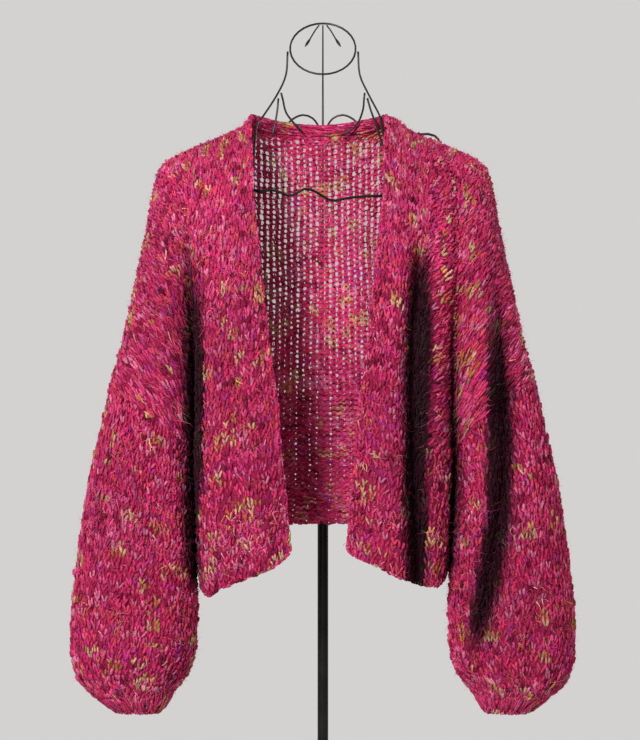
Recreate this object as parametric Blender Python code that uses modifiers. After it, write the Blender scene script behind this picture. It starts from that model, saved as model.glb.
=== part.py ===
# Open-front chunky cardigan on a limbless wire dress form with a pole and a round base.
# Sizes are in millimetres in the tables below and become metres through MM.
# The frame has +Z up, the front of the garment faces -Y, and the pole's axis is the Z axis.

import math

import bmesh
import bpy
from mathutils import Vector

MM = 0.001

# Cloth: a brushed chunky knit, pieces joined edge to edge
WALL = 4.0
SEAM_GAP = 0.4
LEFT = -1
RIGHT = 1

# Columns and rows of the walls, as shares of a panel's width or drop
FRONT_COLUMNS = (0, 0.1, 0.21, 0.33, 0.45, 0.57, 0.69, 0.80, 0.90, 0.97, 1)
NECK_COLUMNS = (0, 0.14, 0.28, 0.42)
NECK_SHARE = 0.56
SIDE_SHARE = FRONT_COLUMNS[-2]
BACK_SIDE_SHARE = NECK_SHARE + (1 - NECK_SHARE) * SIDE_SHARE
ARM_TURNS = (0, 0.05, 0.15, 0.26, 0.37, 0.48, 0.59, 0.70, 0.80, 0.90, 1)
SIDE_TURN = ARM_TURNS[1]
UPPER_ROWS = 13
LOWER_ROWS = (0, 0.03, 0.09, 0.20, 0.38, 0.58, 0.79, 1)
SLEEVE_ROWS = 15
FIRST_SLEEVE_ROW = 0.02

# Neck: half the width of the opening, its height, how deep the back neck curves and how far it dips
NECK_HALF = 78
NECK_SHIFT = -5
NECK_HEIGHT = 1402
NECK_DEPTH = -62
BACK_NECK_DEPTH = -13
NECK_DIP = 8
BAND_HEIGHT = 10
BAND_THICK = 7

# Shoulder line from beside the neck to the shoulder's tip: across, height, depth
SHOULDER_LINE = (
    (100, 1393, -66),
    (132, 1379, -72),
    (160, 1366, -78),
    (178, 1356, -82),
    (188, 1346, -85),
)
CREASE_TOP = 150
CREASE_HALF = 4
CREASE_FLOOR = 2
CREASE_LIP = 6
CREASE_CLOSING = 0.7
SHOULDER_TIP = 188

# Outer line of the dropped upper arm: height, across
ARM_OUTER = (
    (1098, 243),
    (1140, 230),
    (1176, 222),
    (1217, 213),
    (1269, 202),
    (1298, 196.5),
    (1330, 193),
    (1346, 188),
)

# Half width of the front opening: height, across
FRONT_OPENING = (
    (860, 32),
    (911, 32.5),
    (944, 35),
    (978, 38),
    (1014, 42),
    (1080, 47),
    (1112, 51.5),
    (1149, 57),
    (1194, 62),
    (1258, 68),
    (1311, 74),
    (1370, 76),
    (1397, 78),
)

# Panels above the underarm, by share of the drop from the shoulder line:
# share, crease across, crease depth at the back, arm fullness,
# how far arm and body are parted, front depth, back depth
UPPER_FORM = (
    (0.00, 150, -28, 0, 0.0, -150, -14),
    (0.20, 152, -34, 9, 0.1, -157, -14),
    (0.36, 152, -44, 20, 0.3, -163, -14),
    (0.52, 149, -56, 32, 0.5, -168, -14),
    (0.68, 147, -68, 43, 0.75, -172, -14),
    (0.86, 147, -80, 52, 0.9, -175, -14),
    (1.00, 148, -90, 57, 1.0, -176, -14),
)

# Depth of the crease at the front by the same shares: deep at the left, nearly full at the right
FRONT_CREASE = {
    LEFT: (
        (0, -142), (0.20, -139), (0.36, -131), (0.52, -121), (0.68, -111), (0.86, -99), (1, -90),
    ),
    RIGHT: (
        (0, -142), (0.20, -142), (0.36, -142), (0.52, -141), (0.68, -137), (0.86, -121), (1, -90),
    ),
}
ARCH_SHARE = {"front": 0.30, "back": 0.20}
ARCH_SHARE_OUTER = 0.25
PANEL_SQUARENESS = 2.5
EDGE_ROLL = 14
EDGE_ROLL_SHARE = 0.35

# Body below the underarm, by share of the drop to the hem: share, side across, front depth
LOWER_FORM = (
    (0.00, 148, -176),
    (0.03, 144, -176),
    (0.09, 142, -176),
    (0.40, 140, -175),
    (1.00, 138, -172),
)
SIDE_DEPTH = -90
SIDE_LIP = 12
BACK_DEPTH = -14

# Hems from the front edge to the side and from the back's middle to the side: share, height
FRONT_HEM = {
    LEFT: ((0, 914), (0.1, 903), (0.3, 892), (0.55, 881), (0.75, 873), (0.88, 863), (1, 872)),
    RIGHT: ((0, 916), (0.1, 908), (0.3, 899), (0.55, 884), (0.75, 875), (0.88, 874), (1, 884)),
}
BACK_HEM = {
    LEFT: ((0, 939), (0.3, 938), (0.6, 926), (0.85, 900), (1, 872)),
    RIGHT: ((0, 939), (0.3, 938), (0.6, 926), (0.85, 903), (1, 884)),
}

# Height of the sleeve seam at the underarm and at the outer arm, its rise at the front
# between them, and the share of the sleeve in which its rings follow the seam
UNDERARM_HEIGHT = {LEFT: 1031, RIGHT: 1019}
SEAM_OUTER_HEIGHT = 1098
SEAM_RISE = {LEFT: 0, RIGHT: 18}
SEAM_FOLLOWED = 0.26

# Sleeve rings below the seam, by share of the way down:
# share, centre height, slope, centre across, half width, half depth, centre depth
SLEEVE_FORM = (
    (0.00, 1064.5, 0.705, 195.5, 47.5, 57, -90),
    (0.02, 1056.5, 0.66, 198, 46, 57, -90),
    (0.07, 1038, 0.55, 201, 48, 58, -90),
    (0.15, 1008, 0.43, 205, 52, 60, -90),
    (0.26, 968, 0.30, 209.5, 57.5, 62, -91),
    (0.38, 924, 0.18, 212.5, 62, 65, -92),
    (0.50, 880, 0.08, 214.5, 66.5, 66, -93),
    (0.61, 840, 0.00, 216, 69.5, 66, -94),
    (0.71, 805, 0.00, 217, 69.5, 64, -95),
    (0.79, 780, 0.00, 218.5, 65.5, 59, -96),
    (0.86, 762, 0.00, 220, 56, 50, -97),
    (0.92, 749, 0.00, 219, 44, 40, -98),
    (0.97, 741, 0.00, 215, 33, 31, -98.5),
    (1.00, 738, 0.00, 212, 26, 25, -99),
)
CUFF_HEIGHT = 8.5
CUFF_THICK = 5.5
CUFF_TUCK = 0.42
CUFF_EASE = 0.2

# Largest folds: side, face, three heights with the trough's place across, depth, half width
FOLDS = (
    (RIGHT, "front", (1290, 112), (1110, 100), (870, 106), 34, 21),
    (RIGHT, "front", (1260, 190), (1040, 208), (800, 178), 20, 18),
    (RIGHT, "front", (900, 245), (800, 236), (735, 222), 7, 18),
    (LEFT, "front", (1300, 112), (1130, 104), (890, 92), 9, 26),
    (LEFT, "front", (1030, 196), (900, 190), (740, 205), 7, 24),
    (LEFT, "front", (1240, 198), (1160, 200), (1060, 206), 6, 20),
    (LEFT, "back", (1330, 66), (1150, 58), (930, 52), 10, 30),
    (RIGHT, "back", (1340, 40), (1150, 44), (930, 58), 8, 24),
    (LEFT, "back", (1080, 200), (920, 206), (750, 204), 9, 24),
    (RIGHT, "back", (1100, 196), (930, 200), (750, 210), 11, 24),
    (RIGHT, "back", (1280, 120), (1100, 112), (900, 108), 12, 24),
)
FOLD_FADE = 70

# Dress form
POLE_RADIUS = 6.3
POLE_TOP = 985
ROD_RADIUS = 2.2
ROD_TOP_RADIUS = 1.4
ROD_TOP_GAP = 0.5
WIRE_RADIUS = 1.5
THIN_WIRE_RADIUS = 1.2
JOINT_GAP = 0.35
RING_RADIUS = 38.5
RING_CENTRE = (0, -21, 1495.3)
RING_REACH = (0, 21, 32.3)
RING_STEPS = 30
BASE_RADIUS = 150
BASE_THICK = 8
BASE_EDGE = 2.5
COLLAR_RADIUS = 15
COLLAR_HEIGHT = 32
ROUND_SIDES = 40
SUPPORT_CLEARANCE = 0.6

# Wire routes through their bends, on the left side of the form: across, depth, height
NECK_WIRE = (
    (-41.3, -24.5, 1491.5),
    (-43.3, -30, 1463.5),
    (-53.7, -40, 1439),
    (-70.8, -60, 1410.4),
    (-76, -70, 1402.6),
    (-77.5, -88, 1388),
    (-79, -112, 1356),
    (-79, -126, 1325.2),
)
RIGHT_NECK_WIRE = (
    (41.3, -24.5, 1491.5),
    (43.3, -30, 1463.5),
    (53.7, -40, 1439),
    (66, -58, 1413),
    (67.5, -68, 1402),
    (69.5, -81, 1390),
    (74.5, -95, 1376),
    (77, -112, 1352),
    (77, -125.5, 1317.9),
)
MIDDLE_BRANCH = (
    (-51.9, -42, 1435),
    (-53, -44, 1422),
    (-56, -46, 1403.5),
    (-59.4, -46, 1389.5),
)
INNER_BRANCH = (
    (-48.9, -37.8, 1442),
    (-46.8, -37.3, 1434),
    (-43.2, -35, 1419.5),
    (-35, -31, 1408.3),
    (-23.5, -27, 1396),
)
RIGHT_MIDDLE_BRANCH = (
    (51.8, -42.4, 1435),
    (56, -48, 1420),
    (62.7, -58, 1400),
    (67, -74, 1384),
    (70, -89, 1374),
    (73, -97.2, 1370),
)
RIGHT_INNER_BRANCH = (
    (48.9, -37.8, 1442),
    (47.8, -37.3, 1432),
    (47, -36, 1423),
    (42, -33, 1409),
    (32.8, -30, 1399),
    (21.2, -27, 1392.5),
)
SCROLL_ARC = (
    (-4, -0.4, 1398),
    (-4.8, -2, 1405),
    (-12, -4.5, 1415),
    (-23.6, -6, 1418.8),
    (-36, -7.5, 1413.5),
    (-44.8, -7, 1403),
    (-46, -4.5, 1394),
)
SCROLL_END = {LEFT: 1385.4, RIGHT: 1393.4}
CHEST_WAVE = (
    (-104, -115, 1322),
    (-92, -122, 1323),
    (-80, -126, 1323.3),
    (-70, -128, 1320.5),
    (-60, -129, 1322.5),
    (-48, -130, 1319.5),
    (-39, -131, 1315.5),
    (-30, -131, 1318.5),
    (-21, -131, 1323.5),
    (-13, -131, 1322.5),
    (-3, -131, 1317),
    (6, -131, 1311.5),
    (14, -131, 1310),
    (27, -130, 1313),
    (45, -129, 1315),
    (62, -128, 1315.6),
    (76, -126, 1316),
    (90, -121, 1316),
    (104, -115, 1315),
)
CHEST_KNOT = (-70, 1.9)
SHOULDER_WIRE_START = {
    LEFT: ((-80.6, -87.2, 1387.5), (-88, -77, 1388)),
    RIGHT: ((73.9, -85.9, 1385.8), (83, -76, 1386)),
}
SHOULDER_BAR = (
    (-131, -4, 1368),
    (-133, -4, 1372.5),
    (-129, -4, 1375),
    (-118, -4, 1375.5),
    (-46, -4, 1382),
    (0, -4, 1386),
    (46, -4, 1390),
    (112, -4, 1396),
    (124, -4, 1396.6),
    (132, -4, 1394.4),
    (136.5, -4, 1390),
    (138.5, -4, 1382),
    (138, -4, 1373),
)
HOOK = ((-4.5, 35.4), (-9, 28), (-15, 15), (-21, 3))

COLORS = {
    "knit_pink": ((0.56, 0.06, 0.22), 0.95, 0.0),
    "knit_rose": ((0.50, 0.05, 0.20), 0.95, 0.0),
    "knit_plum": ((0.42, 0.04, 0.17), 0.95, 0.0),
    "knit_edge": ((0.60, 0.08, 0.26), 0.95, 0.0),
    "wire_black": ((0.03, 0.03, 0.035), 0.45, 0.6),
    "pole_black": ((0.02, 0.02, 0.025), 0.35, 0.7),
}


def clear_scene():
    for thing in list(bpy.data.objects):
        bpy.data.objects.remove(thing, do_unlink=True)


def make_collection(name):
    group = bpy.data.collections.new(name)
    bpy.context.scene.collection.children.link(group)
    return group


def make_material(name):
    color, roughness, metallic = COLORS[name]
    material = bpy.data.materials.new(name)
    material.use_nodes = True
    shader = material.node_tree.nodes["Principled BSDF"]
    shader.inputs["Base Color"].default_value = (*color, 1)
    shader.inputs["Roughness"].default_value = roughness
    shader.inputs["Metallic"].default_value = metallic
    material.diffuse_color = (*color, 1)
    return material


def hermite(low, high, slope_low, slope_high, share, span):
    a = 2 * share ** 3 - 3 * share ** 2 + 1
    b = share ** 3 - 2 * share ** 2 + share
    c = -2 * share ** 3 + 3 * share ** 2
    d = share ** 3 - share ** 2
    return a * low + b * span * slope_low + c * high + d * span * slope_high


def read_curve(rows, column, place):
    """Value of a table's column at a place along its first column, on a smooth curve."""
    keys = [row[0] for row in rows]
    values = [row[column] for row in rows]
    if place <= keys[0]:
        return values[0]
    if place >= keys[-1]:
        return values[-1]
    steps = [(values[i + 1] - values[i]) / (keys[i + 1] - keys[i]) for i in range(len(keys) - 1)]
    slopes = [steps[0]]
    for before, after in zip(steps, steps[1:]):
        slopes.append(0 if before * after <= 0 else 2 * before * after / (before + after))
    slopes.append(steps[-1])
    i = max(k for k in range(len(keys) - 1) if keys[k] <= place)
    span = keys[i + 1] - keys[i]
    share = (place - keys[i]) / span
    return hermite(values[i], values[i + 1], slopes[i], slopes[i + 1], share, span)


def smooth_step(value):
    value = min(max(value, 0), 1)
    return value * value * (3 - 2 * value)


def mix(first, second, share):
    return first + (second - first) * share


def neck_across(side):
    return NECK_HALF + side * NECK_SHIFT


def shoulder_line(side):
    return ((neck_across(side), NECK_HEIGHT, NECK_DEPTH),) + SHOULDER_LINE


def fold_depth(side, face, across, height):
    """How far the folds push a point of the cloth inwards."""
    total = 0
    for fold_side, fold_face, top, middle, bottom, depth, half_width in FOLDS:
        if fold_side != side or fold_face != face:
            continue
        line = (bottom, middle, top)
        centre = read_curve(line, 1, height)
        away = (across - centre) / half_width
        if abs(away) >= 1:
            continue
        fade = smooth_step((top[0] - height) / FOLD_FADE)
        if bottom[0] > 900:
            fade *= smooth_step((height - bottom[0]) / FOLD_FADE)
        total += depth * fade * math.cos(away * math.pi / 2) ** 2
    return total


def drop_share(row_share, arch):
    """Share of a panel's drop and share of its reach, for an arched top and a straight fall."""
    arch_rows = arch * math.pi / 2 / (1 - arch + arch * math.pi / 2)
    if row_share < arch_rows:
        angle = row_share / arch_rows * math.pi / 2
        return arch * (1 - math.cos(angle)), math.sin(angle)
    return mix(arch, 1, (row_share - arch_rows) / (1 - arch_rows)), 1


def crease_lip(drop):
    """How far the two sides of a crease lean apart where the crease closes at the underarm."""
    return smooth_step((drop - CREASE_CLOSING) / (1 - CREASE_CLOSING))


def body_depth(share, side_share, outer_depth, face_depth):
    """Depth of a panel across its width: flat, then round towards the side."""
    bend = (1 - min(share / side_share, 1) ** PANEL_SQUARENESS) ** (1 / PANEL_SQUARENESS)
    return mix(outer_depth, face_depth, bend)


def front_opening(side, height):
    return read_curve(FRONT_OPENING, 1, height) + side * NECK_SHIFT


def edge_roll(share):
    return EDGE_ROLL * (1 - smooth_step(share / EDGE_ROLL_SHARE))


def panel_point(start, crease, crease_depth, face_depth, share, side_share, sign, drop):
    """Place across and depth of a panel from its start to the crease beside the arm."""
    lip = crease_lip(drop)
    if share == 1:
        return crease, crease_depth + sign * CREASE_FLOOR * (1 - lip)
    lip_depth = crease_depth - sign * CREASE_LIP * lip
    across = mix(start, crease - CREASE_HALF, min(share / side_share, 1))
    return across, body_depth(share, side_share, lip_depth, face_depth)


def front_upper_point(side, share, row_share):
    line = shoulder_line(side)
    drop, reach = drop_share(row_share, ARCH_SHARE["front"])
    top_across = mix(neck_across(side), CREASE_TOP, share)
    height = mix(read_curve(line, 1, top_across), UNDERARM_HEIGHT[side], drop)
    crease, face_depth = (read_curve(UPPER_FORM, i, drop) for i in (1, 5))
    crease_depth = read_curve(FRONT_CREASE[side], 1, drop)
    across, full = panel_point(
        front_opening(side, height), crease, crease_depth, face_depth, share, SIDE_SHARE, 1, drop
    )
    across = mix(top_across, across, reach)
    if share < 1:
        full += edge_roll(share) + fold_depth(side, "front", across, height)
    return side * across, mix(read_curve(line, 2, top_across), full, reach), height


def lower_panel(start, face_depth, share, side_share, sign, row_share):
    """Place across and depth of a panel below the underarm, where it ends at the side seam."""
    side_across = read_curve(LOWER_FORM, 1, row_share)
    if share == 1:
        return side_across, SIDE_DEPTH
    closed = 1 - smooth_step(row_share / LOWER_ROWS[2])
    across = mix(start, side_across - CREASE_HALF * closed, min(share / side_share, 1))
    lip_depth = SIDE_DEPTH - sign * mix(SIDE_LIP, CREASE_LIP, closed)
    return across, body_depth(share, side_share, lip_depth, face_depth)


def front_lower_point(side, share, row_share):
    height = mix(UNDERARM_HEIGHT[side], read_curve(FRONT_HEM[side], 1, share), row_share)
    across, depth = lower_panel(
        front_opening(side, height), read_curve(LOWER_FORM, 2, row_share),
        share, SIDE_SHARE, 1, row_share
    )
    if share < 1:
        depth += edge_roll(share) + fold_depth(side, "front", across, height)
    return side * across, depth, height


def back_underarm(side, share):
    """Height of the back's underarm line, level across the middle."""
    return mix(UNDERARM_HEIGHT[LEFT], UNDERARM_HEIGHT[side], share)


def back_upper_point(side, share, row_share):
    line = shoulder_line(side)
    drop, reach = drop_share(row_share, ARCH_SHARE["back"])
    if share > NECK_SHARE:
        top_across = mix(neck_across(side), CREASE_TOP, (share - NECK_SHARE) / (1 - NECK_SHARE))
        top_height = read_curve(line, 1, top_across)
        top_depth = read_curve(line, 2, top_across)
    else:
        place = share / NECK_SHARE
        top_across = NECK_SHIFT * side + NECK_HALF * place
        top_height = NECK_HEIGHT - NECK_DIP * (1 - place ** 2)
        top_depth = mix(BACK_NECK_DEPTH, NECK_DEPTH, 1 - math.sqrt(1 - place ** 2))
    height = mix(top_height, back_underarm(side, share), drop)
    crease, crease_depth, face_depth = (read_curve(UPPER_FORM, i, drop) for i in (1, 2, 6))
    across, full = panel_point(
        NECK_SHIFT * side * (1 - drop), crease, crease_depth, face_depth,
        share, BACK_SIDE_SHARE, -1, drop
    )
    across = mix(top_across, across, reach)
    if share < 1:
        full -= fold_depth(side, "back", across, height)
    return side * across, mix(top_depth, full, reach), height


def back_lower_point(side, share, row_share):
    height = mix(back_underarm(side, share), read_curve(BACK_HEM[side], 1, share), row_share)
    across, depth = lower_panel(0, BACK_DEPTH, share, BACK_SIDE_SHARE, -1, row_share)
    if share < 1:
        depth -= fold_depth(side, "back", across, height)
    return side * across, depth, height


def arm_point(side, face, turn, row_share):
    """Dropped upper arm from the crease, turn 0, to the outer line, turn 1."""
    sign = 1 if face == "front" else -1
    line = shoulder_line(side)
    drop, reach = drop_share(row_share, mix(ARCH_SHARE[face], ARCH_SHARE_OUTER, turn))
    turned = max((turn - SIDE_TURN) / (1 - SIDE_TURN), 0)
    quarter = math.sin(turned * math.pi / 2)
    half = (1 - math.cos(turned * math.pi)) / 2
    top_across = mix(CREASE_TOP, SHOULDER_TIP, math.sin(turn * math.pi / 2))
    seam_height = mix(UNDERARM_HEIGHT[side], SEAM_OUTER_HEIGHT, (1 - math.cos(turn * math.pi)) / 2)
    if face == "front":
        seam_height += SEAM_RISE[side] * math.sin(turn * math.pi)
        crease_depth = read_curve(FRONT_CREASE[side], 1, drop)
    else:
        crease_depth = read_curve(UPPER_FORM, 2, drop)
    height = mix(read_curve(line, 1, top_across), seam_height, drop)
    crease = read_curve(UPPER_FORM, 1, drop)
    lip = crease_lip(drop)
    if turn == 0:
        across, full = crease, crease_depth + sign * CREASE_FLOOR * (1 - lip)
    else:
        outer = read_curve(ARM_OUTER, 1, mix(SHOULDER_LINE[-1][1], SEAM_OUTER_HEIGHT, drop))
        parted = read_curve(UPPER_FORM, 4, drop)
        across = mix(crease + CREASE_HALF, outer, mix(quarter, half, parted))
        middle = mix(SHOULDER_LINE[-1][2], SIDE_DEPTH, drop)
        lip_depth = crease_depth - sign * CREASE_LIP * lip
        full = mix(middle, lip_depth, math.cos(turned * math.pi / 2))
        round_share = math.sin(turned * math.pi)
        full -= sign * read_curve(UPPER_FORM, 3, drop) * round_share
        full += sign * fold_depth(side, face, across, height) * round_share
    across = mix(top_across, across, reach)
    return side * across, mix(read_curve(line, 2, top_across), full, reach), height


def sleeve_point(side, face, turn, row_share):
    """Sleeve from the underarm line, turn 0, round its face to the outer line, turn 1."""
    if row_share == 0:
        return arm_point(side, face, turn, 1)
    height, slope, centre, half_width, half_depth, middle = (
        read_curve(SLEEVE_FORM, column, row_share) for column in range(1, 7)
    )
    sign = 1 if face == "front" else -1
    across = centre - half_width * math.cos(turn * math.pi)
    height += slope * (across - centre)
    round_share = math.sin(turn * math.pi)
    followed = max(1 - row_share / SEAM_FOLLOWED, 0)
    lowered = UNDERARM_HEIGHT[LEFT] - UNDERARM_HEIGHT[side]
    height -= followed * lowered * (1 + math.cos(turn * math.pi)) / 2
    if face == "front":
        height += followed * SEAM_RISE[side] * round_share
    depth = middle - sign * half_depth * round_share
    gathered = smooth_step((1 - row_share) / CUFF_EASE)
    depth += sign * fold_depth(side, face, across, height) * round_share * gathered
    return side * across, depth, height


def shares(count):
    return [i / count for i in range(count + 1)]


def grid(point, side, columns, rows):
    return [[Vector(point(side, column, row)) for column in columns] for row in rows]


def flip(block):
    return [row[::-1] for row in block]


def front_blocks(side):
    rows = shares(UPPER_ROWS)
    blocks = [
        grid(front_upper_point, side, FRONT_COLUMNS, rows),
        grid(lambda s, t, r: arm_point(s, "front", t, r), side, ARM_TURNS, rows),
        grid(front_lower_point, side, FRONT_COLUMNS, LOWER_ROWS),
    ]
    return blocks if side == RIGHT else [flip(block) for block in blocks]


def back_blocks():
    rows = shares(UPPER_ROWS)
    columns = NECK_COLUMNS + tuple(mix(NECK_SHARE, 1, share) for share in FRONT_COLUMNS)
    blocks = []
    for side in (LEFT, RIGHT):
        halves = [
            grid(back_upper_point, side, columns, rows),
            grid(lambda s, t, r: arm_point(s, "back", t, r), side, ARM_TURNS, rows),
            grid(back_lower_point, side, columns, LOWER_ROWS),
        ]
        blocks += halves if side == LEFT else [flip(block) for block in halves]
    return blocks


def sleeve_blocks(side):
    rows = [0, FIRST_SLEEVE_ROW] + shares(SLEEVE_ROWS)[1:]
    front = grid(lambda s, t, r: sleeve_point(s, "front", t, r), side, ARM_TURNS, rows)
    back = grid(lambda s, t, r: sleeve_point(s, "back", t, r), side, ARM_TURNS, rows)
    return [front, flip(back)] if side == RIGHT else [flip(front), back]


def point_key(point):
    return tuple(round(value, 3) for value in point)


class Sheet:
    """The middle surface of one cloth piece: shared points and four-sided faces."""

    def __init__(self, blocks):
        self.points = []
        self.index = {}
        self.faces = []
        for block in blocks:
            for upper, lower in zip(block, block[1:]):
                for i in range(len(upper) - 1):
                    corners = (upper[i], lower[i], lower[i + 1], upper[i + 1])
                    self.add_face([self.find(corner) for corner in corners])

    def find(self, point):
        key = point_key(point)
        if key not in self.index:
            self.index[key] = len(self.points)
            self.points.append(point.copy())
        return self.index[key]

    def add_face(self, corners):
        unique = list(dict.fromkeys(corners))
        if len(unique) > 2:
            self.faces.append(unique)

    def face_normal(self, face):
        first = self.points[face[0]]
        total = Vector((0, 0, 0))
        for a, b in zip(face[1:], face[2:]):
            total += (self.points[a] - first).cross(self.points[b] - first)
        return total

    def rim(self):
        edges = {}
        for face in self.faces:
            for a, b in zip(face, face[1:] + face[:1]):
                edges[(a, b)] = True
        return [(a, b) for a, b in edges if (b, a) not in edges]


def seam_normals(sheets):
    """Normals of all sheets together, so that two walls end in one plane at their seam."""
    normals = {}
    owners = {}
    for name, sheet in sheets.items():
        for face in sheet.faces:
            push = sheet.face_normal(face)
            for corner in face:
                key = point_key(sheet.points[corner])
                normals[key] = normals.get(key, Vector((0, 0, 0))) + push
                owners.setdefault(key, set()).add(name)
    for key in normals:
        normals[key].normalize()
    seams = {key for key, names in owners.items() if len(names) > 1}
    return normals, seams


def pull_back(sheet, normals, seams):
    """Points moved off their seams by half the gap, along the cloth."""
    inward = {}
    for face in sheet.faces:
        middle = sum((sheet.points[i] for i in face), Vector((0, 0, 0))) / len(face)
        for i in face:
            inward[i] = inward.get(i, Vector((0, 0, 0))) + (middle - sheet.points[i]).normalized()
    ways = {}
    for i, point in enumerate(sheet.points):
        key = point_key(point)
        if key in seams:
            normal = normals[key]
            ways[i] = (inward[i] - normal * inward[i].dot(normal)).normalized()
    eased = dict(ways)
    for a, b in sheet.rim():
        if a in ways and b in ways:
            eased[a] = eased[a] + ways[b]
            eased[b] = eased[b] + ways[a]
    moved = list(sheet.points)
    for i, way in eased.items():
        moved[i] = moved[i] + way.normalized() * SEAM_GAP / 2
    return moved


def add_wall_face(bm, corners):
    """A face whose first corner lies on its shorter diagonal, where it is split in two."""
    if len(corners) == 4:
        a, b, c, d = (corner.co for corner in corners)
        if (d - b).length < (c - a).length:
            corners = corners[1:] + corners[:1]
    bm.faces.new(corners)


def wall_mesh(name, sheet, normals, seams):
    """A closed wall: the sheet pushed out and in by half the wall, with a rim between."""
    points = pull_back(sheet, normals, seams)
    bm = bmesh.new()
    outer = []
    inner = []
    for start, point in zip(sheet.points, points):
        push = normals[point_key(start)] * WALL / 2
        outer.append(bm.verts.new((point + push) * MM))
        inner.append(bm.verts.new((point - push) * MM))
    for face in sheet.faces:
        add_wall_face(bm, [outer[i] for i in face])
        add_wall_face(bm, [inner[i] for i in reversed(face)])
    for a, b in sheet.rim():
        if point_key(sheet.points[a]) > point_key(sheet.points[b]):
            bm.faces.new((outer[b], outer[a], inner[a]))
            bm.faces.new((outer[b], inner[a], inner[b]))
        else:
            bm.faces.new((outer[b], outer[a], inner[b]))
            bm.faces.new((outer[a], inner[a], inner[b]))
    bmesh.ops.recalc_face_normals(bm, faces=bm.faces)
    mesh = bpy.data.meshes.new(name)
    bm.to_mesh(mesh)
    bm.free()
    return mesh


def add_mesh_object(group, name, mesh, material):
    thing = bpy.data.objects.new(name, mesh)
    group.objects.link(thing)
    mesh.materials.append(make_material(material) if isinstance(material, str) else material)
    mesh.shade_smooth()
    mesh.set_sharp_from_angle(angle=math.radians(50))
    return thing


def make_cloth(group, materials):
    sheets = {
        "front_left": Sheet(front_blocks(LEFT)),
        "front_right": Sheet(front_blocks(RIGHT)),
        "back": Sheet(back_blocks()),
        "sleeve_left": Sheet(sleeve_blocks(LEFT)),
        "sleeve_right": Sheet(sleeve_blocks(RIGHT)),
    }
    colors = {
        "front_left": "knit_pink",
        "front_right": "knit_pink",
        "back": "knit_plum",
        "sleeve_left": "knit_rose",
        "sleeve_right": "knit_rose",
    }
    normals, seams = seam_normals(sheets)
    for name, sheet in sheets.items():
        mesh = wall_mesh(name, sheet, normals, seams)
        add_mesh_object(group, name, mesh, materials[colors[name]])


def ring_loft(name, sections, closed):
    """A solid through equal rings of points: a closed loop, or a bar with two flat ends."""
    bm = bmesh.new()
    loops = [[bm.verts.new(Vector(point) * MM) for point in section] for section in sections]
    count = len(loops[0])
    pairs = list(zip(loops, loops[1:]))
    if closed:
        pairs.append((loops[-1], loops[0]))
    for first, second in pairs:
        for i in range(count):
            j = (i + 1) % count
            bm.faces.new((first[i], first[j], second[j], second[i]))
    if not closed:
        bm.faces.new(loops[0])
        bm.faces.new(loops[-1])
    bmesh.ops.recalc_face_normals(bm, faces=bm.faces)
    mesh = bpy.data.meshes.new(name)
    bm.to_mesh(mesh)
    bm.free()
    return mesh


def oval(centre, outward, thick, tall, count=8):
    points = []
    for i in range(count):
        angle = 2 * math.pi * (i + 0.5) / count
        side_step = outward * (thick / 2 * math.cos(angle))
        points.append(centre + side_step + Vector((0, 0, tall / 2 * math.sin(angle))))
    return points


def make_neck_band(group, materials):
    """Rolled edge on the back neck, from one neck point to the other."""
    steps = 22
    sections = []
    for i in range(steps + 1):
        angle = math.pi * i / steps
        rise = BAND_HEIGHT / 2 + SEAM_GAP + WALL / 2 * math.sqrt(abs(math.cos(angle)))
        across = NECK_SHIFT - NECK_HALF * math.cos(angle)
        depth = mix(NECK_DEPTH, BACK_NECK_DEPTH, math.sin(angle))
        outward = Vector((-math.cos(angle), math.sin(angle), 0))
        dip = NECK_DIP * math.sin(angle) ** 2
        centre = Vector((across, depth, NECK_HEIGHT + rise - dip))
        sections.append(oval(centre, outward, BAND_THICK, BAND_HEIGHT))
    mesh = ring_loft("neck_band", sections, False)
    add_mesh_object(group, "neck_band", mesh, materials["knit_edge"])


def make_cuff(group, side, name, materials):
    """Bound edge that closes the gathered sleeve to its opening."""
    last = SLEEVE_FORM[-1]
    height, centre, half_width, half_depth, middle = last[1], last[3], last[4], last[5], last[6]
    steps = 2 * (len(ARM_TURNS) - 1)
    sections = []
    for i in range(steps):
        angle = 2 * math.pi * i / steps
        outward = Vector((math.cos(angle), math.sin(angle), 0))
        place = Vector((
            side * centre + (half_width - 1) * math.cos(angle),
            middle + (half_depth - 1) * math.sin(angle),
            height - WALL * CUFF_TUCK - CUFF_HEIGHT / 2,
        ))
        sections.append(oval(place, outward, CUFF_THICK, CUFF_HEIGHT))
    mesh = ring_loft(name, sections, True)
    add_mesh_object(group, name, mesh, materials["knit_edge"])


def smooth_route(bends, spacing):
    """Evenly spaced points on a smooth curve through a wire's bends."""
    points = [Vector(bend) for bend in bends]
    ends = [points[0] * 2 - points[1]] + points + [points[-1] * 2 - points[-2]]
    route = []
    for before, start, end, after in zip(ends, ends[1:], ends[2:], ends[3:]):
        count = max(1, round((end - start).length / spacing))
        for i in range(count):
            t = i / count
            route.append(0.5 * (
                2 * start
                + (end - before) * t
                + (2 * before - 5 * start + 4 * end - after) * t ** 2
                + (3 * start - before - 3 * end + after) * t ** 3
            ))
    route.append(points[-1])
    return route


def add_wire(group, name, points, radius, material, closed=False, thickness=None):
    """A round wire through points, with an optional thickness factor at each point."""
    curve = bpy.data.curves.new(name, "CURVE")
    curve.dimensions = "3D"
    curve.bevel_depth = radius * MM
    curve.bevel_resolution = 2
    curve.use_fill_caps = not closed
    spline = curve.splines.new("POLY")
    spline.points.add(len(points) - 1)
    for i, point in enumerate(points):
        spline.points[i].co = (*(Vector(point) * MM), 1)
        if thickness:
            spline.points[i].radius = thickness[i]
    spline.use_cyclic_u = closed
    thing = bpy.data.objects.new(name, curve)
    group.objects.link(thing)
    curve.materials.append(material)
    return thing


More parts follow.
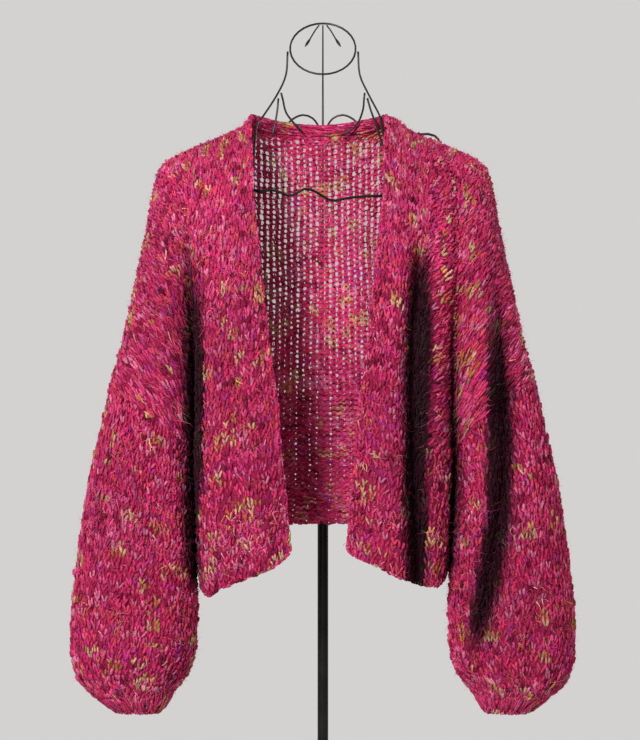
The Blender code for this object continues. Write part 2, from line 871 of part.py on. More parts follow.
def knob_end(points, factor):
    """Thickness factors that swell the last points of a wire into a round end."""
    return [1] * (len(points) - 3) + [factor, factor, 0.6]


def make_turned(group, name, profile, material):
    """A round piece turned from its profile: radius and height of each corner."""
    mesh = bpy.data.meshes.new(name)
    bm = bmesh.new()
    corners = [bm.verts.new((radius * MM, 0, height * MM)) for radius, height in profile]
    for a, b in zip(corners, corners[1:]):
        bm.edges.new((a, b))
    bm.to_mesh(mesh)
    bm.free()
    thing = bpy.data.objects.new(name, mesh)
    group.objects.link(thing)
    mesh.materials.append(material)
    screw = thing.modifiers.new("Turn", "SCREW")
    screw.axis = "Z"
    screw.steps = ROUND_SIDES
    screw.render_steps = ROUND_SIDES
    screw.use_merge_vertices = True
    screw.merge_threshold = 0.0001
    screw.use_smooth_shade = True
    return thing


def make_stand(group, materials):
    black = materials["pole_black"]
    make_turned(group, "base_plate", (
        (0, BASE_THICK),
        (BASE_RADIUS - BASE_EDGE, BASE_THICK),
        (BASE_RADIUS, BASE_THICK - BASE_EDGE),
        (BASE_RADIUS, 0),
        (0, 0),
    ), black)
    foot = BASE_THICK + JOINT_GAP
    inside = POLE_RADIUS + JOINT_GAP
    make_turned(group, "pole_collar", (
        (inside, foot + COLLAR_HEIGHT),
        (COLLAR_RADIUS - 4, foot + COLLAR_HEIGHT),
        (COLLAR_RADIUS, foot + COLLAR_HEIGHT - 4),
        (COLLAR_RADIUS, foot),
        (inside, foot),
        (inside, foot + COLLAR_HEIGHT),
    ), black)
    make_turned(group, "pole", (
        (0, POLE_TOP),
        (POLE_RADIUS - 1.5, POLE_TOP),
        (POLE_RADIUS, POLE_TOP - 1.5),
        (POLE_RADIUS, foot),
        (0, foot),
    ), black)
    ring_top = RING_CENTRE[2] + RING_REACH[2]
    rod_top = ring_top - WIRE_RADIUS - ROD_TOP_GAP
    make_turned(group, "neck_rod", (
        (0, rod_top),
        (ROD_TOP_RADIUS, rod_top),
        (ROD_RADIUS, NECK_HEIGHT),
        (ROD_RADIUS, POLE_TOP + JOINT_GAP),
        (0, POLE_TOP + JOINT_GAP),
    ), black)


def ring_plane(across, up):
    """A point in the neck ring's tilted plane, from its centre."""
    centre = Vector(RING_CENTRE)
    reach = Vector(RING_REACH)
    return centre + Vector((across, 0, 0)) + reach.normalized() * up


def make_neck_ring(group, material):
    points = []
    for i in range(RING_STEPS):
        angle = 2 * math.pi * i / RING_STEPS
        points.append(ring_plane(RING_RADIUS * math.sin(angle), RING_RADIUS * math.cos(angle)))
    add_wire(group, "neck_ring", points, WIRE_RADIUS, material, closed=True)
    for name, side in (("ring_hook_left", 1), ("ring_hook_right", -1)):
        bends = [ring_plane(side * across, up) for across, up in HOOK]
        route = smooth_route(bends, 4)
        add_wire(group, name, route, THIN_WIRE_RADIUS, material, thickness=knob_end(route, 1.6))


def make_neck_wires(group, material):
    add_wire(group, "neck_wire_left", smooth_route(NECK_WIRE, 8), WIRE_RADIUS, material)
    add_wire(group, "neck_wire_right", smooth_route(RIGHT_NECK_WIRE, 8), WIRE_RADIUS, material)
    right_middle = smooth_route(RIGHT_MIDDLE_BRANCH, 4)
    add_wire(group, "middle_branch_right", right_middle, WIRE_RADIUS, material)
    for name, bends in (
        ("middle_branch_left", MIDDLE_BRANCH),
        ("inner_branch_left", INNER_BRANCH),
        ("inner_branch_right", RIGHT_INNER_BRANCH),
    ):
        route = smooth_route(bends, 4)
        add_wire(group, name, route, WIRE_RADIUS, material, thickness=knob_end(route, 1.3))
    for name, side in (("scroll_arc_left", LEFT), ("scroll_arc_right", RIGHT)):
        bends = [(-side * x, y, z) for x, y, z in SCROLL_ARC]
        bends.append((side * -SCROLL_ARC[-1][0], SHOULDER_BAR[0][1], SCROLL_END[side]))
        add_wire(group, name, smooth_route(bends, 5), WIRE_RADIUS, material)


def make_chest_wave(group, material):
    route = smooth_route(CHEST_WAVE, 6)
    place, factor = CHEST_KNOT
    thickness = [mix(factor, 1, smooth_step(abs(p.x - place) / 6)) for p in route]
    add_wire(group, "chest_wave", route, WIRE_RADIUS, material, thickness=thickness)


def make_shoulder_bar(group, material):
    """A bar across the rod, behind the back, with its ends bent down."""
    add_wire(group, "shoulder_bar", smooth_route(SHOULDER_BAR, 12), WIRE_RADIUS, material)


def make_shoulder_wires(group, material):
    """The wires that carry the cloth, made from the shoulder line and set just under it."""
    below = WALL / 2 + WIRE_RADIUS + SUPPORT_CLEARANCE
    for name, side in (("shoulder_wire_left", LEFT), ("shoulder_wire_right", RIGHT)):
        line = shoulder_line(side)
        bends = list(SHOULDER_WIRE_START[side])
        for share in shares(8):
            across = mix(neck_across(side) + 20, SHOULDER_TIP - 8, share)
            height = read_curve(line, 1, across)
            slope = (read_curve(line, 1, across + 2) - height) / 2
            fall = below * math.sqrt(1 + slope * slope)
            bends.append((side * across, read_curve(line, 2, across), height - fall))
        add_wire(group, name, smooth_route(bends, 8), WIRE_RADIUS, material)


def main():
    clear_scene()
    group = make_collection("cardigan_on_wire_dress_form")
    materials = {name: make_material(name) for name in COLORS}
    make_cloth(group, materials)
    make_neck_band(group, materials)
    make_cuff(group, LEFT, "cuff_left", materials)
    make_cuff(group, RIGHT, "cuff_right", materials)
    make_stand(group, materials)
    make_neck_ring(group, materials["wire_black"])
    make_neck_wires(group, materials["wire_black"])
    make_chest_wave(group, materials["wire_black"])
    make_shoulder_bar(group, materials["wire_black"])
    make_shoulder_wires(group, materials["wire_black"])


main()
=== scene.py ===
import math

import bmesh
import bpy
import numpy as np
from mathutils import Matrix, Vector
from mathutils.bvhtree import BVHTree


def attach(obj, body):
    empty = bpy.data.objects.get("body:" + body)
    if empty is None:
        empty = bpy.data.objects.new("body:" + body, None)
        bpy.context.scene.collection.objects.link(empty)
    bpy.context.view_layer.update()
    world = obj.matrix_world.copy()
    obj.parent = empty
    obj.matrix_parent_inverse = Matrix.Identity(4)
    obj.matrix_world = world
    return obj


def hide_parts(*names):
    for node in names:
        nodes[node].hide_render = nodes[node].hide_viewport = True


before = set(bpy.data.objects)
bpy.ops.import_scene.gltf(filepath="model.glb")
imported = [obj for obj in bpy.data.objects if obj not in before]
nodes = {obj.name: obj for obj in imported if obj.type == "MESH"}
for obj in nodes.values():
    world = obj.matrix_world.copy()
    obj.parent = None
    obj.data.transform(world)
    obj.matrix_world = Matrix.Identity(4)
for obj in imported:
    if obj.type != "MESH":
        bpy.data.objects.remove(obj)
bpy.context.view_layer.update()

mm = 0.001
left, right = -1, 1

# the cloth's form, the same tables as the solids have
garment = {
    "neckHalf": 78, "neckShift": -5, "neckHeight": 1402, "neckDepth": -62, "backNeckDepth": -13, "neckDip": 8,
    "neckShare": 0.56, "sideShare": 0.97, "sideTurn": 0.05,
    # shoulder line: across, height, depth
    "shoulderLine": (
        (100, 1393, -66), (132, 1379, -72), (160, 1366, -78), (178, 1356, -82), (188, 1346, -85),
    ),
    # how far the soft cloth rises over the neck band's end, and the line down from there
    "neckRise": {left: 6, right: 8}, "neckRiseSharp": 8,
    "neckSlope": {
        left: ((87, 1403, -63), (92, 1397.5, -64)),
        right: ((82, 1407, -63), (88, 1402.5, -64), (95, 1396.5, -65)),
    },
    "creaseTop": 150, "creaseHalf": 4, "creaseFloor": 2, "creaseLip": 6, "creaseClosing": 0.7,
    "shoulderTip": 188,
    # outer line of the upper arm and half width of the front opening: height, across
    "armOuter": (
        (1098, 243), (1140, 230), (1176, 222), (1217, 213), (1269, 202), (1298, 196.5), (1330, 193),
        (1346, 188),
    ),
    "frontOpening": (
        (860, 32), (911, 32.5), (944, 35), (978, 38), (1014, 42), (1080, 47), (1112, 51.5),
        (1149, 57), (1194, 62), (1258, 68), (1311, 74), (1370, 76), (1397, 78),
    ),
    # share of the drop, crease across, back crease depth, arm fullness, arm and body parted,
    # front depth, back depth
    "upperForm": (
        (0.00, 150, -28, 0, 0.0, -150, -14),
        (0.20, 152, -34, 9, 0.1, -157, -14),
        (0.36, 152, -44, 20, 0.3, -163, -14),
        (0.52, 149, -56, 32, 0.5, -168, -14),
        (0.68, 147, -68, 43, 0.75, -172, -14),
        (0.86, 147, -80, 52, 0.9, -175, -14),
        (1.00, 148, -90, 57, 1.0, -176, -14),
    ),
    # share of the drop, depth of the front crease
    "frontCrease": {
        left: ((0, -142), (0.20, -139), (0.36, -131), (0.52, -121), (0.68, -111), (0.86, -99), (1, -90)),
        right: ((0, -142), (0.20, -142), (0.36, -142), (0.52, -141), (0.68, -137), (0.86, -121), (1, -90)),
    },
    "archShare": {"front": 0.30, "back": 0.20}, "archShareOuter": 0.25,
    "squareness": 2.5, "edgeRoll": 14, "edgeRollShare": 0.35,
    # share of the drop to the hem, side across, front depth
    "lowerForm": (
        (0.00, 148, -176), (0.03, 144, -176), (0.09, 142, -176), (0.40, 140, -175), (1.00, 138, -172),
    ),
    "lowerClosing": 0.09, "sideDepth": -90, "sideLip": 12, "backDepth": -14,
    # share from the edge or the middle to the side, height
    "frontHem": {
        left: ((0, 914), (0.1, 903), (0.3, 892), (0.55, 881), (0.75, 873), (0.88, 863), (1, 872)),
        right: ((0, 916), (0.1, 908), (0.3, 899), (0.55, 884), (0.75, 875), (0.88, 874), (1, 884)),
    },
    "backHem": {
        left: ((0, 939), (0.3, 938), (0.6, 926), (0.85, 900), (1, 872)),
        right: ((0, 939), (0.3, 938), (0.6, 926), (0.85, 903), (1, 884)),
    },
    "underarm": {left: 1031, right: 1019}, "seamOuter": 1098, "seamRise": {left: 0, right: 18},
}

sleeve = {
    "seamFollowed": 0.26, "cuffEase": 0.2,
    # share of the way down, height, slope, across, half width, half depth, depth
    "form": (
        (0.00, 1064.5, 0.705, 195.5, 47.5, 57, -90),
        (0.02, 1056.5, 0.66, 198, 46, 57, -90),
        (0.07, 1038, 0.55, 201, 48, 58, -90),
        (0.15, 1008, 0.43, 205, 52, 60, -90),
        (0.26, 968, 0.30, 209.5, 57.5, 62, -91),
        (0.38, 924, 0.18, 212.5, 62, 65, -92),
        (0.50, 880, 0.08, 214.5, 66.5, 66, -93),
        (0.61, 840, 0.00, 216, 69.5, 66, -94),
        (0.71, 805, 0.00, 217, 69.5, 64, -95),
        (0.79, 780, 0.00, 218.5, 65.5, 59, -96),
        (0.86, 762, 0.00, 220, 56, 50, -97),
        (0.92, 749, 0.00, 219, 44, 40, -98),
        (0.97, 741, 0.00, 215, 33, 31, -98.5),
        (1.00, 738, 0.00, 212, 26, 25, -99),
    ),
}

# side, face, three heights with the trough's place across, depth, half width
folds = (
    (right, "front", (1290, 112), (1110, 100), (870, 106), 34, 21),
    (right, "front", (1260, 190), (1040, 208), (800, 178), 20, 18),
    (right, "front", (900, 245), (800, 236), (735, 222), 7, 18),
    (left, "front", (1300, 112), (1130, 104), (890, 92), 9, 26),
    (left, "front", (1030, 196), (900, 190), (740, 205), 7, 24),
    (left, "front", (1240, 198), (1160, 200), (1060, 206), 6, 20),
    (left, "back", (1330, 66), (1150, 58), (930, 52), 10, 30),
    (right, "back", (1340, 40), (1150, 44), (930, 58), 8, 24),
    (left, "back", (1080, 200), (920, 206), (750, 204), 9, 24),
    (right, "back", (1100, 196), (930, 200), (750, 210), 11, 24),
    (right, "back", (1280, 120), (1100, 112), (900, 108), 12, 24),
)
foldFade, openFoldFoot = 70, 900


def readCurve(rows, column, place):
    keys = np.array([row[0] for row in rows], float)
    values = np.array([row[column] for row in rows], float)
    steps = np.diff(values) / np.diff(keys)
    inner = [0 if a * b <= 0 else 2 * a * b / (a + b) for a, b in zip(steps, steps[1:])]
    slopes = np.array([steps[0], *inner, steps[-1]])
    place = np.clip(place, keys[0], keys[-1])
    i = np.clip(np.searchsorted(keys, place, side="right") - 1, 0, len(keys) - 2)
    span = keys[i + 1] - keys[i]
    t = (place - keys[i]) / span
    return (
        (2 * t ** 3 - 3 * t ** 2 + 1) * values[i] + (t ** 3 - 2 * t ** 2 + t) * span * slopes[i]
        + (3 * t ** 2 - 2 * t ** 3) * values[i + 1] + (t ** 3 - t ** 2) * span * slopes[i + 1]
    )


def smoothStep(value):
    value = np.clip(value, 0, 1)
    return value * value * (3 - 2 * value)


def unit(values):
    return values / np.maximum(np.linalg.norm(values, axis=-1, keepdims=True), 1e-9)


def mix(first, second, share):
    return first + (second - first) * share


def neckAcross(side):
    return garment["neckHalf"] + side * garment["neckShift"]


def shoulderLine(side):
    corner = (neckAcross(side), garment["neckHeight"] + garment["neckRise"][side], garment["neckDepth"])
    return (corner,) + garment["neckSlope"][side] + garment["shoulderLine"]


def foldDepth(side, face, across, height):
    total = np.zeros_like(height)
    for foldSide, foldFace, top, middle, bottom, depth, halfWidth in folds:
        if foldSide != side or foldFace != face:
            continue
        centre = readCurve((bottom, middle, top), 1, height)
        away = np.clip((across - centre) / halfWidth, -1, 1)
        fade = smoothStep((top[0] - height) / foldFade)
        if bottom[0] > openFoldFoot:
            fade = fade * smoothStep((height - bottom[0]) / foldFade)
        total = total + depth * fade * np.cos(away * math.pi / 2) ** 2
    return total


def dropShare(row, arch):
    archRows = arch * math.pi / 2 / (1 - arch + arch * math.pi / 2)
    angle = np.clip(row / archRows, 0, 1) * math.pi / 2
    straight = mix(arch, 1, (row - archRows) / (1 - archRows))
    return np.where(row < archRows, arch * (1 - np.cos(angle)), straight), np.sin(angle)


def creaseLip(drop):
    closing = garment["creaseClosing"]
    return smoothStep((drop - closing) / (1 - closing))


def bodyDepth(share, sideShare, outerDepth, faceDepth):
    power = garment["squareness"]
    bend = (1 - np.minimum(share / sideShare, 1) ** power) ** (1 / power)
    return mix(outerDepth, faceDepth, bend)


def frontOpening(side, height):
    return readCurve(garment["frontOpening"], 1, height) + side * garment["neckShift"]


def edgeRoll(share):
    return garment["edgeRoll"] * (1 - smoothStep(share / garment["edgeRollShare"]))


def panelPoint(start, crease, creaseDepth, faceDepth, share, sideShare, sign, drop):
    lip = creaseLip(drop)
    atCrease = share == 1
    lipDepth = creaseDepth - sign * garment["creaseLip"] * lip
    across = mix(start, crease - garment["creaseHalf"], np.minimum(share / sideShare, 1))
    depth = bodyDepth(share, sideShare, lipDepth, faceDepth)
    floor = creaseDepth + sign * garment["creaseFloor"] * (1 - lip)
    return np.where(atCrease, crease, across), np.where(atCrease, floor, depth)


def frontUpper(side, share, row):
    line = shoulderLine(side)
    drop, reach = dropShare(row, garment["archShare"]["front"])
    topAcross = mix(neckAcross(side), garment["creaseTop"], share)
    height = mix(readCurve(line, 1, topAcross), garment["underarm"][side], drop)
    crease, faceDepth = (readCurve(garment["upperForm"], i, drop) for i in (1, 5))
    creaseDepth = readCurve(garment["frontCrease"][side], 1, drop)
    across, full = panelPoint(
        frontOpening(side, height), crease, creaseDepth, faceDepth, share, garment["sideShare"], 1, drop
    )
    across = mix(topAcross, across, reach)
    full = full + np.where(share < 1, edgeRoll(share) + foldDepth(side, "front", across, height), 0)
    return np.stack([side * across, mix(readCurve(line, 2, topAcross), full, reach), height], -1)


def lowerPanel(start, faceDepth, share, sideShare, sign, row):
    sideAcross = readCurve(garment["lowerForm"], 1, row)
    closed = 1 - smoothStep(row / garment["lowerClosing"])
    across = mix(start, sideAcross - garment["creaseHalf"] * closed, np.minimum(share / sideShare, 1))
    lipDepth = garment["sideDepth"] - sign * mix(garment["sideLip"], garment["creaseLip"], closed)
    depth = bodyDepth(share, sideShare, lipDepth, faceDepth)
    atSide = share == 1
    return np.where(atSide, sideAcross, across), np.where(atSide, garment["sideDepth"], depth)


def frontLower(side, share, row):
    height = mix(garment["underarm"][side], readCurve(garment["frontHem"][side], 1, share), row)
    faceDepth = readCurve(garment["lowerForm"], 2, row)
    across, depth = lowerPanel(frontOpening(side, height), faceDepth, share, garment["sideShare"], 1, row)
    depth = depth + np.where(share < 1, edgeRoll(share) + foldDepth(side, "front", across, height), 0)
    return np.stack([side * across, depth, height], -1)


def backSideShare():
    return garment["neckShare"] + (1 - garment["neckShare"]) * garment["sideShare"]


def backUnderarm(side, share):
    return mix(garment["underarm"][left], garment["underarm"][side], share)


def backUpper(side, share, row):
    line, neckShare = shoulderLine(side), garment["neckShare"]
    drop, reach = dropShare(row, garment["archShare"]["back"])
    outside = share > neckShare
    place = np.minimum(share / neckShare, 1)
    beyond = np.clip((share - neckShare) / (1 - neckShare), 0, 1)
    shoulderAcross = mix(neckAcross(side), garment["creaseTop"], beyond)
    topAcross = np.where(outside, shoulderAcross, garment["neckShift"] * side + garment["neckHalf"] * place)
    dipped = garment["neckHeight"] - garment["neckDip"] * (1 - place ** 2)
    dipped = dipped + garment["neckRise"][side] * place ** garment["neckRiseSharp"]
    topHeight = np.where(outside, readCurve(line, 1, shoulderAcross), dipped)
    neckDepth = mix(garment["backNeckDepth"], garment["neckDepth"], 1 - np.sqrt(1 - place ** 2))
    topDepth = np.where(outside, readCurve(line, 2, shoulderAcross), neckDepth)
    height = mix(topHeight, backUnderarm(side, share), drop)
    crease, creaseDepth, faceDepth = (readCurve(garment["upperForm"], i, drop) for i in (1, 2, 6))
    start = garment["neckShift"] * side * (1 - drop)
    across, full = panelPoint(start, crease, creaseDepth, faceDepth, share, backSideShare(), -1, drop)
    across = mix(topAcross, across, reach)
    full = full - np.where(share < 1, foldDepth(side, "back", across, height), 0)
    return np.stack([side * across, mix(topDepth, full, reach), height], -1)


def backLower(side, share, row):
    height = mix(backUnderarm(side, share), readCurve(garment["backHem"][side], 1, share), row)
    across, depth = lowerPanel(0, garment["backDepth"], share, backSideShare(), -1, row)
    depth = depth - np.where(share < 1, foldDepth(side, "back", across, height), 0)
    return np.stack([side * across, depth, height], -1)


def armPoint(side, face, turn, row):
    sign = 1 if face == "front" else -1
    line, sideTurn, form = shoulderLine(side), garment["sideTurn"], garment["upperForm"]
    drop, reach = dropShare(row, mix(garment["archShare"][face], garment["archShareOuter"], turn))
    turned = np.maximum((turn - sideTurn) / (1 - sideTurn), 0)
    quarter, half = np.sin(turned * math.pi / 2), (1 - np.cos(turned * math.pi)) / 2
    topAcross = mix(garment["creaseTop"], garment["shoulderTip"], np.sin(turn * math.pi / 2))
    seamHeight = mix(garment["underarm"][side], garment["seamOuter"], (1 - np.cos(turn * math.pi)) / 2)
    if face == "front":
        seamHeight = seamHeight + garment["seamRise"][side] * np.sin(turn * math.pi)
        creaseDepth = readCurve(garment["frontCrease"][side], 1, drop)
    else:
        creaseDepth = readCurve(form, 2, drop)
    height = mix(readCurve(line, 1, topAcross), seamHeight, drop)
    crease, lip = readCurve(form, 1, drop), creaseLip(drop)
    outer = readCurve(garment["armOuter"], 1, mix(line[-1][1], garment["seamOuter"], drop))
    across = mix(crease + garment["creaseHalf"], outer, mix(quarter, half, readCurve(form, 4, drop)))
    middle = mix(line[-1][2], garment["sideDepth"], drop)
    lipDepth = creaseDepth - sign * garment["creaseLip"] * lip
    full = mix(middle, lipDepth, np.cos(turned * math.pi / 2))
    roundShare = np.sin(turned * math.pi)
    full = full - sign * readCurve(form, 3, drop) * roundShare
    full = full + sign * foldDepth(side, face, across, height) * roundShare
    across = np.where(turn == 0, crease, across)
    full = np.where(turn == 0, creaseDepth + sign * garment["creaseFloor"] * (1 - lip), full)
    across = mix(topAcross, across, reach)
    return np.stack([side * across, mix(readCurve(line, 2, topAcross), full, reach), height], -1)


def sleevePoint(side, face, turn, row):
    sign = 1 if face == "front" else -1
    read = (readCurve(sleeve["form"], i, row) for i in range(1, 7))
    height, slope, centre, halfWidth, halfDepth, middle = read
    across = centre - halfWidth * np.cos(turn * math.pi)
    height = height + slope * (across - centre)
    roundShare = np.sin(turn * math.pi)
    followed = np.maximum(1 - row / sleeve["seamFollowed"], 0)
    lowered = garment["underarm"][left] - garment["underarm"][side]
    height = height - followed * lowered * (1 + np.cos(turn * math.pi)) / 2
    if face == "front":
        height = height + followed * garment["seamRise"][side] * roundShare
    gathered = smoothStep((1 - row) / sleeve["cuffEase"])
    depth = middle - sign * halfDepth * roundShare
    depth = depth + sign * foldDepth(side, face, across, height) * roundShare * gathered
    points = np.stack([side * across, depth, height], -1)
    return np.where((row == 0)[..., None], armPoint(side, face, turn, np.ones_like(row)), points)


# grids over the cloth, evened out so that a stitch has the same size all over
gridSteps = {"body": 40, "neck": 14, "arm": 34, "upper": 64, "lower": 30, "sleeve": 56}
bodyShares = np.append(np.linspace(0, garment["sideShare"], gridSteps["body"]), 1)
armTurns = np.insert(np.linspace(garment["sideTurn"], 1, gridSteps["arm"]), 0, 0)
upperRows = np.linspace(0, 1, gridSteps["upper"])
lowerRows = np.linspace(0, 1, gridSteps["lower"])
sleeveRows = np.insert(np.linspace(0.02, 1, gridSteps["sleeve"]), 0, 0)
backShares = np.concatenate([
    np.linspace(0, garment["neckShare"], gridSteps["neck"])[:-1],
    mix(garment["neckShare"], 1, bodyShares),
])


def spread(point, which, columns, rows):
    return point(*which, *np.meshgrid(columns, rows))


def bodyGrid(upper, lower, side, columns):
    below = spread(lower, (side,), columns, lowerRows)
    return np.concatenate([spread(upper, (side,), columns, upperRows), below[1:]])


def arcLength(lines):
    steps = np.linalg.norm(np.diff(lines, axis=1), axis=2)
    return np.concatenate([np.zeros((len(lines), 1)), np.cumsum(steps, axis=1)], axis=1)


def evenLines(lines):
    # each line's points moved to equal distances along it
    lengths = arcLength(lines)
    count = lines.shape[1]
    even = np.empty_like(lines)
    for i, length in enumerate(lengths):
        places = np.linspace(0, length[-1], count)
        for k in range(3):
            even[i, :, k] = np.interp(places, length, lines[i, :, k])
    return even


def evenGrid(grid):
    grid = evenLines(grid)
    return np.swapaxes(evenLines(np.swapaxes(grid, 0, 1)), 0, 1)


def gridNormals(grid, outward):
    normals = unit(np.cross(np.gradient(grid, axis=1), np.gradient(grid, axis=0)))
    facing = np.sum(normals * outward(grid))
    return normals if facing > 0 else -normals


def makeDomain(grid, outward):
    even = evenGrid(grid)
    return {
        "points": even,
        "normals": gridNormals(even, outward),
        "width": float(np.mean(arcLength(even)[:, -1])),
        "length": float(np.mean(arcLength(np.swapaxes(even, 0, 1))[:, -1])),
    }


def towards(x, y, z):
    return lambda grid: np.broadcast_to(np.array([x, y, z], float), grid.shape)


def fromAxis(grid):
    centre = (grid[:, :1] + grid[:, grid.shape[1] // 2][:, None]) / 2
    return (grid - centre) * np.array([1, 1, 0])


# the soft cloth of body and sleeve meets where the solids leave a slit: millimetres moved, heights
slit = {"move": 3.0, "body": (128, 12), "sleeve": (166, -14), "low": 872, "high": 1052, "fade": 30}


def closeSlit(grid, side, piece):
    height, across = grid[..., 2], np.abs(grid[..., 0])
    start, width = slit[piece]
    above, below = height - slit["low"], slit["high"] - height
    share = smoothStep(above / slit["fade"]) * smoothStep(below / slit["fade"])
    moved = grid.copy()
    moved[..., 0] += side * math.copysign(slit["move"], width) * share * smoothStep((across - start) / width)
    return moved


domains = {}
for side, word in ((left, "left"), (right, "right")):
    body = closeSlit(bodyGrid(frontUpper, frontLower, side, bodyShares), side, "body")
    domains["frontBody_" + word] = makeDomain(body, towards(0, -1, 0))
    for face, outward in (("front", -1), ("back", 1)):
        arm = spread(armPoint, (side, face), armTurns, upperRows)
        domains[face + "Arm_" + word] = makeDomain(arm, towards(side, outward, 0))
    front, behind = (spread(sleevePoint, (side, face), armTurns, sleeveRows) for face in ("front", "back"))
    ring = np.concatenate([front, behind[:, -2::-1]], axis=1)
    domains["sleeve_" + word] = makeDomain(closeSlit(ring, side, "sleeve"), fromAxis)
halves = [bodyGrid(backUpper, backLower, side, backShares) for side in (left, right)]
whole = np.concatenate([halves[0][:, ::-1], halves[1][:, 1:]], axis=1)
domains["backBody"] = makeDomain(whole, towards(0, 1, 0))
for name, domain in domains.items():
    print("form", name, round(domain["width"]), "x", round(domain["length"]), "mm")


def sample(domain, key, a, b):
    # a runs along the row and b down the wale, both from 0 to 1
    grid = domain[key]
    if grid.ndim == 2:
        grid = grid[..., None]
    rows, columns = grid.shape[:2]
    r, c = np.clip(b, 0, 1) * (rows - 1), np.clip(a, 0, 1) * (columns - 1)
    r0, c0 = np.minimum(r.astype(int), rows - 2), np.minimum(c.astype(int), columns - 2)
    fr, fc = (r - r0)[:, None], (c - c0)[:, None]
    top = mix(grid[r0, c0], grid[r0, c0 + 1], fc)
    foot = mix(grid[r0 + 1, c0], grid[r0 + 1, c0 + 1], fc)
    return mix(top, foot, fr)


# how open each spot lies to the light, from rays cast off the cloth; the cloth's colours are darkened by it
# as painted shade
shelter = {
    "rays": 24, "reach": 90, "start": 3, "step": 3, "foldCore": 0.12,
    # least painted light on the inner back and how much more the open spots get
    "withinLeast": 0.6, "withinMore": 0.5,
    # painted shade in the deep folds: centre line as height and across, inner and outer width, and share of
    # the light lost at each height
    "deepFolds": {
        left: ((
            ((894, 146), (928, 146), (963, 143), (1000, 139.5), (1070, 138), (1239, 138.5)),
            (10, 27),
            (
                (865, 0), (894, 0.6), (963, 0.85), (1100, 0.92), (1170, 0.74), (1204, 0.56), (1239, 0.36),
                (1310, 0),
            ),
        ),),
        right: ((
            ((870, 108), (911, 108), (1003, 106), (1049, 109), (1141, 113), (1256, 117)),
            (32, 21),
            (
                (870, 0.75), (905, 0.9), (960, 1), (1095, 1), (1187, 0.78), (1233, 0.4), (1279, 0.15),
                (1325, 0),
            ),
        ), (
            (
                (773, 166), (819, 172), (859, 178), (894, 185), (928, 190), (963, 194), (1032, 195),
                (1101, 192), (1233, 188),
            ),
            (20, 42),
            (
                (750, 0), (796, 0.4), (830, 0.78), (876, 0.96), (1049, 1), (1141, 0.78), (1187, 0.55),
                (1233, 0.32), (1280, 0),
            ),
        )),
    },
}


def gridTree(domain):
    points = domain["points"]
    rows, columns = points.shape[:2]
    index = np.arange(rows * columns).reshape(rows, columns)
    quads = np.stack([index[:-1, :-1], index[:-1, 1:], index[1:, 1:], index[1:, :-1]], -1).reshape(-1, 4)
    return points.reshape(-1, 3), quads


def clothTree():
    allPoints, allQuads, start = [], [], 0
    for domain in domains.values():
        points, quads = gridTree(domain)
        allPoints.append(points)
        allQuads.append(quads + start)
        start += len(points)
    return BVHTree.FromPolygons(np.concatenate(allPoints).tolist(), np.concatenate(allQuads).tolist())


def skyRays(count):
    # even spread of directions over the upper half of a ball
    golden = math.pi * (3 - math.sqrt(5))
    height = (np.arange(count) + 0.5) / count
    ring = np.sqrt(1 - height ** 2)
    turn = np.arange(count) * golden
    return np.stack([ring * np.cos(turn), ring * np.sin(turn), height], -1)


def openness(tree, domain, sign):
    step = shelter["step"]
    points, normals = domain["points"][::step, ::step], domain["normals"][::step, ::step] * sign
    rays = skyRays(shelter["rays"])
    found = np.ones(points.shape[:2])
    for r in range(points.shape[0]):
        for c in range(points.shape[1]):
            normal = Vector(normals[r, c])
            start = Vector(points[r, c]) + normal * shelter["start"]
            turn = normal.to_track_quat("Z", "Y")
            hits = [tree.ray_cast(start, turn @ Vector(ray), shelter["reach"])[0] is not None for ray in rays]
            weights = rays[:, 2]
            found[r, c] = 1 - np.sum(weights * hits) / np.sum(weights)
    rows = np.clip(np.arange(domain["points"].shape[0]) / step, 0, found.shape[0] - 1)
    columns = np.clip(np.arange(domain["points"].shape[1]) / step, 0, found.shape[1] - 1)
    across = np.array([np.interp(columns, np.arange(found.shape[1]), line) for line in found])
    return np.array([np.interp(rows, np.arange(found.shape[0]), line) for line in across.T]).T


def deepFolds(domain, side):
    # painted shade: how much of the light each spot of the front loses down in the side's deep folds, from 0
    # to 1
    points = domain["points"]
    across, depth, height = points[..., 0] * side, points[..., 1], points[..., 2]
    lost = np.zeros_like(height)
    for centres, (inner, outer), darkness in shelter["deepFolds"][side]:
        away = across - readCurve(centres, 1, height)
        away = np.clip(np.where(away < 0, -away / inner, away / outer), 0, 1)
        fade = smoothStep((away - shelter["foldCore"]) / (1 - shelter["foldCore"]))
        lost = np.maximum(lost, readCurve(darkness, 1, height) * (1 - fade))
    return lost * (depth < garment["sideDepth"])


def findShelter(name):
    domain = domains[name]
    domain["open"] = openness(tree, domain, 1)
    if not name.startswith("back"):
        # the deep folds' painted shade is multiplied into the openness that colours the cloth
        domain["open"] *= 1 - deepFolds(domain, left if name.endswith("left") else right)


tree = clothTree()
for name in domains:
    findShelter(name)
# painted shade of the inner back, from rays cast inward, never darker than withinLeast
within = shelter["withinMore"] * openness(tree, domains["backBody"], -1)
domains["backBody"]["openWithin"] = np.minimum(shelter["withinLeast"] + within, 1)
print("shelter of the folds found")
